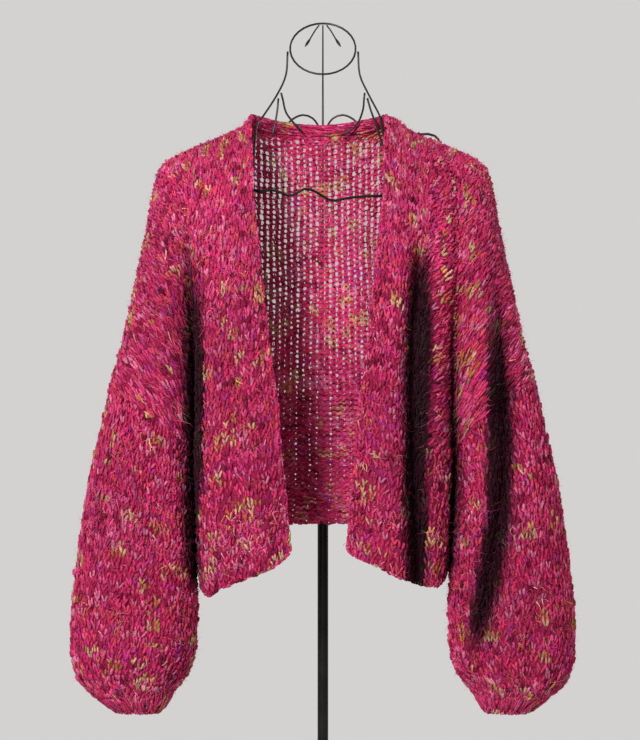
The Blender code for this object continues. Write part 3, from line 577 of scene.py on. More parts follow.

# yarn colours, marled in short lengths along each course, and darkened by painted shade
yarn = {
    "pinks": (
        (0.88, 0.052, 0.22), (0.94, 0.115, 0.32), (0.78, 0.036, 0.15), (0.90, 0.085, 0.17),
        (0.68, 0.045, 0.30), (0.52, 0.018, 0.10), (0.98, 0.24, 0.44), (0.28, 0.009, 0.05),
    ),
    "shares": (0.27, 0.18, 0.15, 0.14, 0.05, 0.08, 0.09, 0.04),
    "golds": (
        (0.76, 0.36, 0.15), (0.86, 0.54, 0.30), (0.66, 0.23, 0.08), (0.92, 0.50, 0.36), (0.82, 0.17, 0.06),
    ),
    "goldShares": (0.36, 0.26, 0.20, 0.12, 0.06),
    "tuftEvery": 1300, "tuftRadius": 9, "tuftSize": (0.45, 1.1), "tuftFill": 0.85,
    # slow change of tone over the cloth, its wave lengths across and down, and each stitch's own
    "tone": 0.16, "toneAcross": 37, "toneDown": 51, "vary": (0.82, 1.16),
    # marl run length, share of strands dyed on their own, and the painted shade: its darkest share, and the
    # openness below which it is darkest and above which it is gone
    "runLength": 2.2, "ownDye": 0.6, "shadeFloor": 0.04, "shadeFrom": 0.12, "shadeTo": 0.70,
}


def cellNoise(first, second, seed):
    # a repeatable share from 0 to 1 for each whole-number cell
    value = np.sin(first * 127.1 + second * 311.7 + seed * 74.7) * 43758.5453
    return value - np.floor(value)


def pick(shares, value):
    return np.searchsorted(np.cumsum(shares)[:-1], value)


# painted shade: the share of a colour kept at a spot of the given openness to the light
def lit(shade):
    light = smoothStep((shade - yarn["shadeFrom"]) / (yarn["shadeTo"] - yarn["shadeFrom"]))
    return mix(yarn["shadeFloor"], 1, light)


def yarnColors(x, y, wale, course, shade, seed):
    # x and y are flat millimetres, wale and course the stitch numbers
    run = np.floor((wale + 7 * cellNoise(course, 0, seed)) / yarn["runLength"])
    span = (np.ptp(x) + 1) * (np.ptp(y) + 1)
    tufts = max(1, int(span / yarn["tuftEvery"]))
    spots = np.random.default_rng(seed)
    ownDye = spots.uniform(0, 1, len(x)) < yarn["ownDye"]
    dip = np.where(ownDye, spots.uniform(0, 1, len(x)), cellNoise(run, course, seed))
    colors = np.array(yarn["pinks"])[pick(yarn["shares"], dip)]
    goldShare = np.zeros(len(x))
    for cx, cy, size in zip(spots.uniform(x.min(), x.max(), tufts), spots.uniform(y.min(), y.max(), tufts),
                            spots.uniform(*yarn["tuftSize"], tufts)):
        radius = yarn["tuftRadius"] * size
        away = ((x - cx) / radius) ** 2 + ((y - cy) / radius) ** 2
        goldShare = np.maximum(goldShare, np.clip(1.5 - away, 0, 1))
    gold = spots.uniform(0, 1, len(x)) < goldShare * yarn["tuftFill"]
    golds = np.array(yarn["golds"])[pick(yarn["goldShares"], spots.uniform(0, 1, len(x)))]
    colors = np.where(gold[:, None], golds, colors)
    waves = np.sin(x / yarn["toneAcross"] + seed) * np.sin(y / yarn["toneDown"] + 2 * seed)
    tone = 1 + yarn["tone"] * waves
    colors = colors * (tone * spots.uniform(*yarn["vary"], len(x)))[:, None]
    # the colours darkened by the painted shade
    return colors * lit(shade)[:, None]


# joined copies of one small shape
def shapeData(bm):
    bm.verts.index_update()
    points = np.array([vert.co[:] for vert in bm.verts])
    faces = [[vert.index for vert in face.verts] for face in bm.faces]
    bm.free()
    starts = np.cumsum([0] + [len(face) for face in faces[:-1]])
    return {"points": points, "corners": np.array(sum(faces, [])), "starts": starts}


def strandShape():
    # a short length of yarn, thin at both ends, along Z from 0 to 1
    bm = bmesh.new()
    bmesh.ops.create_uvsphere(bm, u_segments=4, v_segments=3, radius=0.5)
    bmesh.ops.translate(bm, verts=bm.verts, vec=(0, 0, 0.5))
    return shapeData(bm)


def hairShape():
    # a flat tapering fibre along Z from 0 to 1
    bm = bmesh.new()
    bmesh.ops.create_grid(bm, x_segments=1, y_segments=3, size=0.5)
    for vert in bm.verts:
        along = vert.co.y + 0.5
        vert.co = (vert.co.x * (1 - 0.85 * along), 0, along)
    return shapeData(bm)


strand, hair = strandShape(), hairShape()


def laidCopies(shape, start, end, normal, wide, thick, bow):
    # copies of the shape from start to end, flat side on the normal, bent sideways by bow
    along = end - start
    axis = unit(along)
    across = unit(np.cross(axis, normal))
    up = np.cross(across, axis)
    x, y, z = (shape["points"][:, k][None, :, None] for k in range(3))
    bend = 4 * z * (1 - z)
    return (
        start[:, None] + along[:, None] * z
        + across[:, None] * x * 2 * wide[:, None, None]
        + up[:, None] * y * 2 * thick[:, None, None]
        + bow[:, None] * bend
    )


def linked(name, data):
    made = bpy.data.objects.new(name, data)
    bpy.context.scene.collection.objects.link(made)
    return made


def pieceFrom(name, mesh, finish):
    mesh.shade_smooth()
    mesh.materials.append(finish)
    return linked(name, mesh)


def joinedCopies(name, shape, points, colors, finish):
    count, size = points.shape[:2]
    mesh = bpy.data.meshes.new(name)
    mesh.vertices.add(count * size)
    mesh.vertices.foreach_set("co", (points * mm).astype(np.float32).ravel())
    corners = (shape["corners"][None] + np.arange(count)[:, None] * size).ravel()
    mesh.loops.add(len(corners))
    mesh.loops.foreach_set("vertex_index", corners.astype(np.int32))
    starts = (shape["starts"][None] + np.arange(count)[:, None] * len(shape["corners"])).ravel()
    mesh.polygons.add(len(starts))
    mesh.polygons.foreach_set("loop_start", starts.astype(np.int32))
    mesh.update(calc_edges=True)
    # the yarn attribute holds the colours with their painted shade
    layer = mesh.color_attributes.new(name="yarn", type="FLOAT_COLOR", domain="POINT")
    rgba = np.ones((count, size, 4), np.float32)
    rgba[..., :3] = colors[:, None]
    layer.data.foreach_set("color", rgba.ravel())
    piece = pieceFrom(name, mesh, finish)
    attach(piece, "root")
    return piece


# finishes
class Wire:
    # a shader socket that adds, subtracts, multiplies and divides through Math nodes
    def __init__(self, tree, socket):
        self.tree, self.socket = tree, socket

    def maths(self, operation, first, second):
        node = self.tree.nodes.new("ShaderNodeMath")
        node.operation = operation
        for slot, value in zip(node.inputs, (first, second)):
            if isinstance(value, Wire):
                self.tree.links.new(value.socket, slot)
            else:
                slot.default_value = value
        return Wire(self.tree, node.outputs[0])

    def __add__(self, other):
        return self.maths("ADD", self, other)

    def __sub__(self, other):
        return self.maths("SUBTRACT", self, other)

    def __mul__(self, other):
        return self.maths("MULTIPLY", self, other)

    def __truediv__(self, other):
        return self.maths("DIVIDE", self, other)


class Finish:
    # a material with its shader, and one method for every other node
    def __init__(self, name):
        self.material = bpy.data.materials.new(name)
        self.material.use_nodes = True
        self.tree = self.material.node_tree
        self.shader = self.tree.nodes["Principled BSDF"]

    def node(self, kind, settings=None, inputs=None, output=0):
        node = self.tree.nodes.new("ShaderNode" + kind)
        for key, value in (settings or {}).items():
            if key == "stops":
                elements = node.color_ramp.elements
                while len(elements) < len(value):
                    elements.new(0.5)
                for element, (place, color) in zip(elements, value):
                    element.position, element.color = place, (*color, 1)
            else:
                setattr(node, key, value)
        for key, value in (inputs or {}).items():
            if isinstance(value, Wire):
                self.tree.links.new(value.socket, node.inputs[key])
            else:
                node.inputs[key].default_value = value
        return Wire(self.tree, node.outputs[output])

    def place(self):
        return self.node("TexCoord", output="Object")

    def noise(self, scale, detail):
        return self.node("TexNoise", None, {"Vector": self.place(), "Scale": scale, "Detail": detail})

    def painted(self, name, output="Color"):
        return self.node("Attribute", {"attribute_name": name}, None, output)

    def ramp(self, stops, share):
        return self.node("ValToRGB", {"stops": stops}, {"Fac": share})

    def set(self, **values):
        for key, value in values.items():
            socket = self.shader.inputs[key.replace("_", " ")]
            if isinstance(value, Wire):
                self.tree.links.new(value.socket, socket)
            else:
                socket.default_value = value

    def bump(self, height, strength, distance):
        return self.node("Bump", None, {"Height": height, "Strength": strength, "Distance": distance})


def mixColors(finish, mode, share, first, second):
    settings = {"data_type": "RGBA", "blend_type": mode}
    return finish.node("Mix", settings, {0: share, 6: first, 7: second}, 2)


def yarnFinish(name, lift, sheen):
    finish = Finish(name)
    dye = finish.painted("yarn")
    fibre = finish.noise(1400, 4)
    stops = ((0.3, (0.45, 0.42, 0.45)), (0.5, (1, 1, 1)), (0.72, (1.25, 1.3, 1.25)))
    marl = finish.ramp(stops, finish.noise(520, 4))
    color = mixColors(finish, "MULTIPLY", 1.0, dye, marl)
    finish.set(Base_Color=color, Roughness=0.9, Normal=finish.bump(fibre, 0.7, lift))
    finish.set(Sheen_Weight=sheen, Sheen_Roughness=0.45, Sheen_Tint=(1.0, 0.45, 0.72, 1))
    finish.set(Specular_IOR_Level=0.12)
    return finish.material


def clothFinish(name, holes):
    # the ground behind the stitches; its openwork holes follow the stitch map
    finish = Finish(name)
    dye = finish.painted("yarn")
    course = finish.noise(260, 4)
    marl = finish.ramp(((0.3, (0.5, 0.42, 0.5)), (0.65, (1.2, 1.15, 1.2))), course)
    color = mixColors(finish, "MULTIPLY", 1.0, dye, marl)
    finish.set(Base_Color=color, Roughness=0.95, Normal=finish.bump(course, 0.8, 0.002))
    finish.set(Sheen_Weight=0.2, Sheen_Roughness=0.5, Sheen_Tint=(1.0, 0.6, 0.78, 1))
    finish.set(Specular_IOR_Level=0.15)
    if holes:
        stitch = finish.node("UVMap", {"uv_map": "stitch"})
        parts = finish.tree.nodes.new("ShaderNodeSeparateXYZ")
        finish.tree.links.new(stitch.socket, parts.inputs[0])
        u, v = Wire(finish.tree, parts.outputs[0]), Wire(finish.tree, parts.outputs[1])
        wobble = finish.noise(120, 2) - 0.5
        u, v = u + wobble * 0.5, v + (finish.noise(90, 2) - 0.5) * 0.6
        column = finish.node("Math", {"operation": "FLOOR"}, {0: u + 0.5})
        v = v + column * openwork["stagger"]
        row = finish.node("Math", {"operation": "FLOOR"}, {0: v})
        du, dv = (u - column) / openwork["across"], (v - row - 0.5) / openwork["down"]
        cell = finish.node("CombineXYZ", None, {"X": column, "Y": row})
        chance = finish.node("TexWhiteNoise", {"noise_dimensions": "2D"}, {"Vector": cell})
        streak = finish.node("TexWhiteNoise", {"noise_dimensions": "1D"}, {"W": column})
        size = finish.painted("lace", "Fac")
        size = size * (chance * 1.1 + streak * 0.5 + 0.25) - openwork["shut"]
        solid = finish.node("Math", {"operation": "GREATER_THAN"}, {0: du * du + dv * dv, 1: size})
        # brushed fibres veil the holes
        finish.set(Alpha=solid * (1 - openwork["veil"]) + openwork["veil"])
        finish.set(Base_Color=mixColors(finish, "MIX", solid, openwork["veilDye"], color))
    return finish.material


openwork = {
    "across": 0.31, "down": 0.345, "stagger": 0.37, "shut": 0.12,
    "veil": 0.15, "veilDye": (0.85, 0.09, 0.26, 1),
    # how open the back is: height, share of a full hole
    "byHeight": (
        (860, 0.12), (930, 0.22), (1000, 0.30), (1060, 0.40), (1110, 0.55), (1180, 0.72), (1230, 0.92),
        (1290, 1.1), (1360, 1.15), (1386, 1.0), (1391, 0.3), (1395, -1.0),
    ),
    "sideFade": 150, "sideWidth": 22,
}
# the ground's pink, darker than the yarn as painted shade in the gaps between the stitches
groundShadeDye = (0.42, 0.018, 0.095)


def edgeFinish(name):
    # the core of neck band and cuffs, between their strands
    finish = Finish(name)
    marl = finish.noise(260, 4)
    finish.set(Base_Color=finish.ramp(((0.3, edgeDye[0]), (0.7, edgeDye[1])), marl))
    finish.set(Roughness=0.95, Normal=finish.bump(marl, 0.8, 0.002), Specular_IOR_Level=0.15)
    return finish.material


edgeDye = ((0.34, 0.014, 0.075), (0.72, 0.05, 0.2))
finishes = {
    "yarn": yarnFinish("brushed_yarn", 0.0012, 0.12),
    "fuzz": yarnFinish("loose_fibres", 0.0002, 0.2),
    "cloth": clothFinish("knit_ground", False),
    "lace": clothFinish("open_knit_ground", True),
    "edge": edgeFinish("bound_edge"),
}


# stitch layout
knit = {
    # wale and course in millimetres, slant of the wales in degrees
    "front": {"wale": 7.6, "course": 6.2}, "arm": {"wale": 7.6, "course": 6.2},
    "back": {"wale": 8.15, "course": 6.5}, "sleeve": {"wale": 7.8, "course": 6.2},
    "slant": {left: 44, right: 50},
    "legWide": 0.225, "legThick": 0.20, "legReach": 0.76, "legRise": 1.3, "legTilt": 0.9,
    # across the wale, the feet and tops of a stitch's two legs
    "legFoot": 0.07, "legTop": 0.36, "legSize": (0.72, 1.25), "legVary": (0.74, 1.14),
    "legSway": 0.3, "legBow": 0.5, "topClosed": 0.5,
    "jitter": 1.15, "curl": 0.9, "laceThin": 0.42,
    "purlWide": 0.15, "purlRise": -1.3, "purlCrown": 0.9, "purlShake": 0.35, "linkTo": 0.5,
    # across the wale, up the course and bend of a purl's head and of its link
    "purlParts": ((0.0, 0.45, -0.3), (0.5, 0.5, 0.12)), "purlHalf": (0.22, 0.4),
}


def shares(domain, x, y):
    return x / domain["width"], y / domain["length"]


def stitchPlaces(domain, spec, slant):
    # centres of the stitches in flat millimetres, with their wale and course numbers
    width, length = domain["width"], domain["length"]
    if slant == 0:
        wales, courses = round(width / spec["wale"]), round(length / spec["course"])
        grid = np.meshgrid(np.arange(wales) + 0.5, np.arange(courses) + 0.5)
        wale, course = (value.ravel() for value in grid)
        return wale * width / wales, course * length / courses, wale - 0.5, course - 0.5
    turn = math.radians(slant)
    reach = int((width + length) / spec["course"]) + 2
    wale, course = np.meshgrid(np.arange(-reach, reach), np.arange(-reach, reach))
    x = wale * spec["wale"] * math.cos(turn) - course * spec["course"] * math.sin(turn)
    y = wale * spec["wale"] * math.sin(turn) + course * spec["course"] * math.cos(turn)
    x, y, wale, course = (value.ravel() for value in (x, y, wale, course))
    inside = (x > 0) & (x < width) & (y > 0) & (y < length)
    return x[inside], y[inside], wale[inside] + reach, course[inside] + reach


def keptStitches(domain, spec, slant, keep):
    places = stitchPlaces(domain, spec, slant)
    if keep is None:
        return places
    kept = keep(*shares(domain, *places[:2]))
    return [values[kept] for values in places]


def onCloth(domain, x, y, lift):
    # the points that far off the cloth, and its normals there
    spot = shares(domain, x, y)
    normal = unit(sample(domain, "normals", *spot))
    return sample(domain, "points", *spot) + normal * np.reshape(lift, (-1, 1)), normal


def backLace(points):
    height = points[:, 2]
    lace = readCurve(openwork["byHeight"], 1, height)
    return mix(-1, lace, smoothStep((openwork["sideFade"] - np.abs(points[:, 0])) / openwork["sideWidth"]))


def knitStitches(domain, spec, slant, seed, keep=None, lace=False):
    # two slanting legs for each stitch of the right side
    x, y, wale, course = keptStitches(domain, spec, slant, keep)
    spot = shares(domain, x, y)
    turn = math.radians(slant)
    rowWay, waleWay = (math.cos(turn), math.sin(turn)), (-math.sin(turn), math.cos(turn))
    spots = np.random.default_rng(seed)
    # stitch colours with the painted shade of the folds
    colors = yarnColors(x, y, wale, course, sample(domain, "open", *spot)[:, 0], seed)
    middle = sample(domain, "points", *spot)
    thin = 1 - knit["laceThin"] * np.clip(backLace(middle), 0, 1) if lace else np.ones(len(x))
    shapes, shadedDyes = [], []
    for side in (-1, 1):
        shake = spots.normal(0, knit["jitter"], (4, len(x)))
        footAcross = side * knit["legFoot"] * spec["wale"] + shake[0]
        topAcross = side * knit["legTop"] * spec["wale"] + shake[1]
        reach = knit["legReach"] * spec["course"]
        topAcross = topAcross * mix(knit["topClosed"], 1, (thin - (1 - knit["laceThin"])) / knit["laceThin"])
        ends = []
        for across, down, lift in ((footAcross, reach, knit["legRise"] - knit["legTilt"] / 2),
                                   (topAcross, -reach, knit["legRise"] + knit["legTilt"])):
            down = down + shake[2]
            px = x + rowWay[0] * across + waleWay[0] * down
            py = y + rowWay[1] * across + waleWay[1] * down
            point, normal = onCloth(domain, px, py, lift + knit["legSway"] * shake[3])
            ends.append(point)
        size = spec["wale"] * thin * spots.uniform(*knit["legSize"], len(x))
        bow = normal * (knit["legBow"] + knit["legSway"] * shake[3][:, None])
        bow = bow + spots.normal(0, knit["curl"], (len(x), 3))
        shapes.append(laidCopies(strand, *ends, normal, size * knit["legWide"], size * knit["legThick"], bow))
        shadedDyes.append(colors * spots.uniform(*knit["legVary"], (len(x), 1)))
    return np.concatenate(shapes), np.concatenate(shadedDyes)


def purlStitches(domain, spec, seed, keep):
    # the wrong side: a head over each wale and a link between wales, with the wale's strands behind
    x, y, wale, course = keptStitches(domain, spec, 0, keep)
    spots, rise = np.random.default_rng(seed), knit["purlRise"]
    # colours with the painted shade of the inner back
    colors = yarnColors(x, y, wale, course, sample(domain, "openWithin", *shares(domain, x, y))[:, 0], seed)
    shapes, shadedDyes = [], []
    for centre, drop, bend in knit["purlParts"]:
        shake = spots.normal(0, knit["purlShake"], (3, len(x)))
        px, py = x + centre * spec["wale"] + shake[0], y - drop * spec["course"] + shake[1]
        kept = backLace(sample(domain, "points", *shares(domain, px, py))) < knit["linkTo"]
        half = mix(*knit["purlHalf"], kept) * spec["wale"]
        start, _ = onCloth(domain, px - half, py, rise)
        end, normal = onCloth(domain, px + half, py, rise)
        crown, _ = onCloth(domain, px, py + bend * spec["course"], rise - knit["purlCrown"])
        bow = crown - (start + end) / 2
        size = spec["wale"] * knit["purlWide"] * spots.uniform(0.8, 1.25, len(x))
        shown = np.full(len(x), True) if centre == 0 else kept
        shapes.append(laidCopies(strand, start, end, -normal, size, size * 0.9, bow)[shown])
        shadedDyes.append((colors * spots.uniform(0.75, 1.2, (len(x), 1)))[shown])
    return np.concatenate(shapes), np.concatenate(shadedDyes)


# fibres brushed out of the yarn: flat wisps that blur the stitches, and fine hairs that stand off
fibres = {
    # square millimetres for each, length from and to, half width, rise, lean off the cloth and most of it,
    # turn off the wale, curl, paler
    "wisp": {
        "each": 62, "long": (5, 13), "wide": 0.6, "rise": 2.5, "lean": 0.05, "most": 9,
        "turn": 0.5, "curl": 1.6, "pale": 1.15,
    },
    "hair": {
        "each": 34, "long": (5, 15), "wide": 0.15, "rise": 1.6, "lean": 0.5, "most": 9,
        "turn": 1.6, "curl": 1.7, "pale": 1.2,
    },
}
# spots with less light than this have no fibres; widths vary by these shares
fibresFrom, fibreVary = 0.3, (0.6, 1.4)


def brushedFibres(domain, kind, slant, seed, keep=None):
    spec, spots = fibres[kind], np.random.default_rng(seed)
    count = int(domain["width"] * domain["length"] / spec["each"])
    x, y = spots.uniform(0, domain["width"], count), spots.uniform(0, domain["length"], count)
    if keep is not None:
        kept = keep(*shares(domain, x, y))
        x, y = x[kept], y[kept]
    count = len(x)
    root, normal = onCloth(domain, x, y, spec["rise"])
    turn = math.radians(slant) + spots.normal(0, spec["turn"], count)
    length = spots.uniform(*spec["long"], count)
    tip, tipNormal = onCloth(domain, x - np.sin(turn) * length, y + np.cos(turn) * length, spec["rise"])
    lift = np.minimum(np.abs(spots.normal(0, spec["lean"], count)) * length, spec["most"])
    tip = tip + tipNormal * lift[:, None]
    bow = spots.normal(0, spec["curl"], (count, 3))
    # fibre colours with the painted shade of the folds
    shade = sample(domain, "open", *shares(domain, x, y))[:, 0]
    colors = yarnColors(x, y, x // 8, y // 6, shade, seed) * spec["pale"]
    wide = spec["wide"] * spots.uniform(*fibreVary, count)
    shown = shade > fibresFrom
    return laidCopies(hair, root, tip, normal, wide, wide, bow)[shown], colors[shown]


# the thin cloth under the stitches, with painted shade in its colours
def clothShell(name, parts, finish, spec, thick, seed=None):
    # one sheet over the given grids with the stitch map; a seed asks for open knit in yarn colours; the
    # colours carry painted shade
    bm = bmesh.new()
    maps = bm.loops.layers.uv.new("stitch")
    shadedDyeLayer = bm.verts.layers.float_color.new("yarn")
    laceLayer = bm.verts.layers.float.new("lace")
    for domain in parts:
        points, shade = domain["points"], domain.get("openWithin", domain["open"])
        rows, columns = points.shape[:2]
        wales, courses = round(domain["width"] / spec["wale"]), round(domain["length"] / spec["course"])
        column, row = (value.ravel() for value in np.meshgrid(np.arange(columns), np.arange(rows)))
        x, y = column / columns * domain["width"], row / rows * domain["length"]
        if seed is None:
            # the dark ground, darkened further by the painted shade of the folds
            colors = np.array(groundShadeDye) * lit(shade)[..., None]
            laces = np.full((rows, columns), -1.0)
        else:
            # yarn colours with the painted shade
            colors = yarnColors(x, y, x // 16, y // 14, shade.ravel(), seed).reshape(rows, columns, 3)
            laces = backLace(points.reshape(-1, 3)).reshape(rows, columns)
        spot = {}
        for vert in bmesh.ops.create_grid(bm, x_segments=columns - 1, y_segments=rows - 1, size=0.5)["verts"]:
            c, r = round((vert.co.x + 0.5) * (columns - 1)), round((vert.co.y + 0.5) * (rows - 1))
            spot[vert] = (c, r)
            vert.co = points[r, c] * mm
            vert[shadedDyeLayer] = (*colors[r, c], 1)
            vert[laceLayer] = laces[r, c]
        faces = {face for vert in spot for face in vert.link_faces}
        for face in faces:
            for loop in face.loops:
                c, r = spot[loop.vert]
                loop[maps].uv = (c / (columns - 1) * wales, r / (rows - 1) * courses)
        largest = max(faces, key=lambda face: face.calc_area())
        largest.normal_update()
        c, r = spot[largest.verts[0]]
        if largest.normal.dot(Vector(domain["normals"][r, c])) < 0:
            bmesh.ops.reverse_faces(bm, faces=list(faces))
    mesh = bpy.data.meshes.new(name)
    bm.to_mesh(mesh)
    bm.free()
    piece = pieceFrom(name, mesh, finish)
    body = piece.modifiers.new("Thickness", "SOLIDIFY")
    body.thickness, body.offset = thick * mm, 0
    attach(piece, "root")
    return piece


# strands along the open edges
edging = {
    "spacing": 5.0, "wide": 1.45, "shake": 0.8, "riseShake": 0.4, "bulgeRise": 0.5,
    "wideVary": (0.7, 1.25), "dyeVary": (0.7, 1.2),
    # rise, reach off the edge and place along it, at the start and the end of each strand
    "strands": (
        ((2.0, -4.0, -2.0), (0.7, 1.0, 2.0), 0.9), ((0.7, 0.9, -3.8), (0.7, 0.9, 3.8), 0.6),
        ((-1.7, -3.0, 2.2), (0.0, 0.8, -2.0), 0.4),
    ),
    # the gather's shade is a fixed painted shade on the strands over the cuff
    "gather": {
        "count": 260, "from": (0.93, 0.985), "drop": (3, 10.5), "shake": 6, "rise": 1.6, "footRise": 0.6,
        "bow": (1, 3.5), "shade": 0.62, "wideVary": (0.7, 1.1),
    },
}


edgeFirst = {
    "hem": lambda grid: grid[::-1], "top": lambda grid: grid, "front": lambda grid: np.swapaxes(grid, 0, 1),
}


def edgeStitches(domain, edge, seed):
    points, normals, shades = (edgeFirst[edge](domain[key]) for key in ("points", "normals", "open"))
    line = points[0]
    lengths = arcLength(line[None])[0]
    count = int(lengths[-1] / edging["spacing"])
    places = (np.arange(count) + 0.5) * lengths[-1] / count

    def take(rows):
        return np.stack([np.interp(places, lengths, rows[:, k]) for k in range(rows.shape[1])], -1)
    middle, off, normal = take(line), unit(take(line - points[1])), unit(take(normals[0]))
    # the edge's openness, painted into its colours as shade
    light = take(shades[0][:, None])[:, 0]
    along = unit(np.gradient(middle, axis=0))
    spots = np.random.default_rng(seed)
    colors = yarnColors(places, places * 0, np.arange(count), np.arange(count) * 0, light, seed)
    shapes, shadedDyes = [], []
    for start, end, bulge in edging["strands"]:
        ends = []
        for rise, reach, place in (start, end):
            shake = spots.normal(0, edging["shake"], (3, count, 1))
            lifted = middle + normal * (rise + edging["riseShake"] * shake[0])
            ends.append(lifted + off * (reach + shake[1]) + along * (place + shake[2]))
        wide = edging["wide"] * spots.uniform(*edging["wideVary"], count)
        bow = (off + normal * edging["bulgeRise"]) * bulge
        shapes.append(laidCopies(strand, *ends, normal, wide, wide, bow))
        shadedDyes.append(colors * spots.uniform(*edging["dyeVary"], (count, 1)))
    return np.concatenate(shapes), np.concatenate(shadedDyes)


def gatheredEnd(domain, seed):
    # strands from the gathered end of a sleeve down over its cuff
    spots, spec = np.random.default_rng(seed), edging["gather"]
    count = spec["count"]
    x = spots.uniform(0, domain["width"], count)
    start, normal = onCloth(domain, x, domain["length"] * spots.uniform(*spec["from"], count), spec["rise"])
    foot = np.full(count, domain["length"])
    end, _ = onCloth(domain, x + spots.normal(0, spec["shake"], count), foot, spec["footRise"])
    end = end - np.array([0, 0, 1.0]) * spots.uniform(*spec["drop"], (count, 1))
    wide = edging["wide"] * spots.uniform(*spec["wideVary"], count)
    # colours with a fixed painted shade
    colors = yarnColors(x, x * 0, x // 3, x * 0, np.full(count, spec["shade"]), seed)
    colors = colors * spots.uniform(*edging["dyeVary"], (count, 1))
    bow = normal * spots.uniform(*spec["bow"], (count, 1))
    return laidCopies(strand, start, end, normal, wide, wide, bow), colors


# neck band and cuffs: strands wound on the solids' own oval sections
bound = {
    "wall": 4, "seam": 0.4, "band": (7, 10), "cuff": (5.5, 8.5), "cuffTuck": 0.42,
    # spacing along, rows around, strand's length, half width and rise
    "bandStrand": (3.4, 11, 10, 1.0, 0.0), "cuffStrand": (3.4, 7, 13, 1.35, 1.0),
    # share of the length kept free at each end, painted light, and how far the strands sweep and roll
    "free": 0.035, "shade": 0.8, "upright": (0.3, 1.0), "level": (1.0, 0.2), "crown": 0.8,
    "alongShake": 0.25, "turnShake": 0.2, "liftShake": 0.3, "core": 2, "wideVary": (0.75, 1.2),
}


def ovalPoint(centre, outward, size, turn, lift):
    thick, tall = size
    side = outward * ((thick / 2 + lift) * np.cos(turn))[:, None]
    return centre + side + np.array([0, 0, 1.0]) * ((tall / 2 + lift) * np.sin(turn))[:, None]


def bandPoint(angle, turn, lift):
    g = garment
    rise = bound["band"][1] / 2 + bound["seam"] + bound["wall"] / 2 * np.sqrt(np.abs(np.cos(angle)))
    rise = rise - g["neckDip"] * np.sin(angle) ** 2
    depth = mix(g["neckDepth"], g["backNeckDepth"], np.sin(angle))
    centre = np.stack([g["neckShift"] - g["neckHalf"] * np.cos(angle), depth, g["neckHeight"] + rise], -1)
    outward = np.stack([-np.cos(angle), np.sin(angle), 0 * angle], -1)
    return ovalPoint(centre, outward, bound["band"], turn, lift)


def cuffPoint(side):
    _, height, _, middle, halfWidth, halfDepth, depth = sleeve["form"][-1]

    def point(angle, turn, lift):
        outward = np.stack([np.cos(angle), np.sin(angle), 0 * angle], -1)
        drop = bound["wall"] * bound["cuffTuck"] + bound["cuff"][1] / 2
        centre = np.stack([
            side * middle + (halfWidth - 1) * np.cos(angle), depth + (halfDepth - 1) * np.sin(angle),
            0 * angle + height - drop,
        ], -1)
        return ovalPoint(centre, outward, bound["cuff"], turn, lift)
    return point


def woundStrands(point, length, span, spec, upright, seed):
    spacing, rows, long, wide, out = spec
    spots = np.random.default_rng(seed)
    count = int(length / spacing)
    place, turn = (value.ravel() for value in np.meshgrid(np.arange(count) + 0.5, np.arange(rows) + 0.5))
    angle = mix(bound["free"], 1 - bound["free"], place / count) * span
    angle = angle + spots.normal(0, bound["alongShake"] * span / count, len(place))
    turn = turn / rows * 2 * math.pi + spots.normal(0, bound["turnShake"], len(place))
    sweep, roll = bound["upright" if upright else "level"]
    halfAngle = sweep * long / 2 / length * span
    lift = out + spots.normal(0, bound["liftShake"], len(place))
    start = point(np.clip(angle - halfAngle, 0, span), turn - roll, lift)
    end = point(np.clip(angle + halfAngle, 0, span), turn + roll, lift)
    middle = point(angle, turn, lift + bound["crown"])
    core = point(angle, turn, lift * 0 - bound["core"])
    wides = wide * spots.uniform(*bound["wideVary"], len(place))
    colors = yarnColors(place * spacing, turn * 4, place, turn, np.full(len(place), bound["shade"]), seed)
    laid = laidCopies(strand, start, end, unit(middle - core), wides, wides, middle - (start + end) / 2)
    return laid, colors * spots.uniform(*edging["dyeVary"], (len(place), 1))


# the right side's deep fold parts upright wales from the slanting ones of the arm
slantFrom, uprightFrom = 0.60, 0.72


def uprightPart(a, b):
    return (a < slantFrom) | (b > uprightFrom)


# the right upper front beyond the fold and the upper arm as one grid
front = spread(frontUpper, (right,), bodyShares, upperRows)[:, np.searchsorted(bodyShares, slantFrom):]
arm = spread(armPoint, (right, "front"), armTurns, upperRows)[:, 1:]
domains["frontWide_right"] = makeDomain(np.concatenate([front, arm], axis=1), towards(0.6, -1, 0))
findShelter("frontWide_right")

outsides = {
    "front_left": ["frontBody_left", "frontArm_left"], "front_right": ["frontBody_right", "frontArm_right"],
    "back": ["backArm_left", "backBody", "backArm_right"],
    "sleeve_left": ["sleeve_left"], "sleeve_right": ["sleeve_right"],
}
# grid, stitch size, slant and the part that is kept
plans = {
    "front_left": [("frontBody_left", "front", 0, None), ("frontArm_left", "arm", knit["slant"][left], None)],
    "front_right": [
        ("frontBody_right", "front", 0, uprightPart), ("frontWide_right", "arm", knit["slant"][right], None),
    ],
    "back": [
        ("backBody", "back", 0, None), ("backArm_left", "arm", knit["slant"][left], None),
        ("backArm_right", "arm", knit["slant"][right], None),
    ],
    "sleeve_left": [("sleeve_left", "sleeve", 0, None)],
    "sleeve_right": [("sleeve_right", "sleeve", 0, None)],
}
edges = {
    "front_left": [("frontBody_left", "hem"), ("frontBody_left", "front")],
    "front_right": [("frontBody_right", "hem"), ("frontBody_right", "front")],
    "back": [("backBody", "hem")],
    "sleeve_left": [("sleeve_left", "top")], "sleeve_right": [("sleeve_right", "top")],
}


def triangleCount(piece):
    return len(piece.data.loops) - 2 * len(piece.data.polygons)


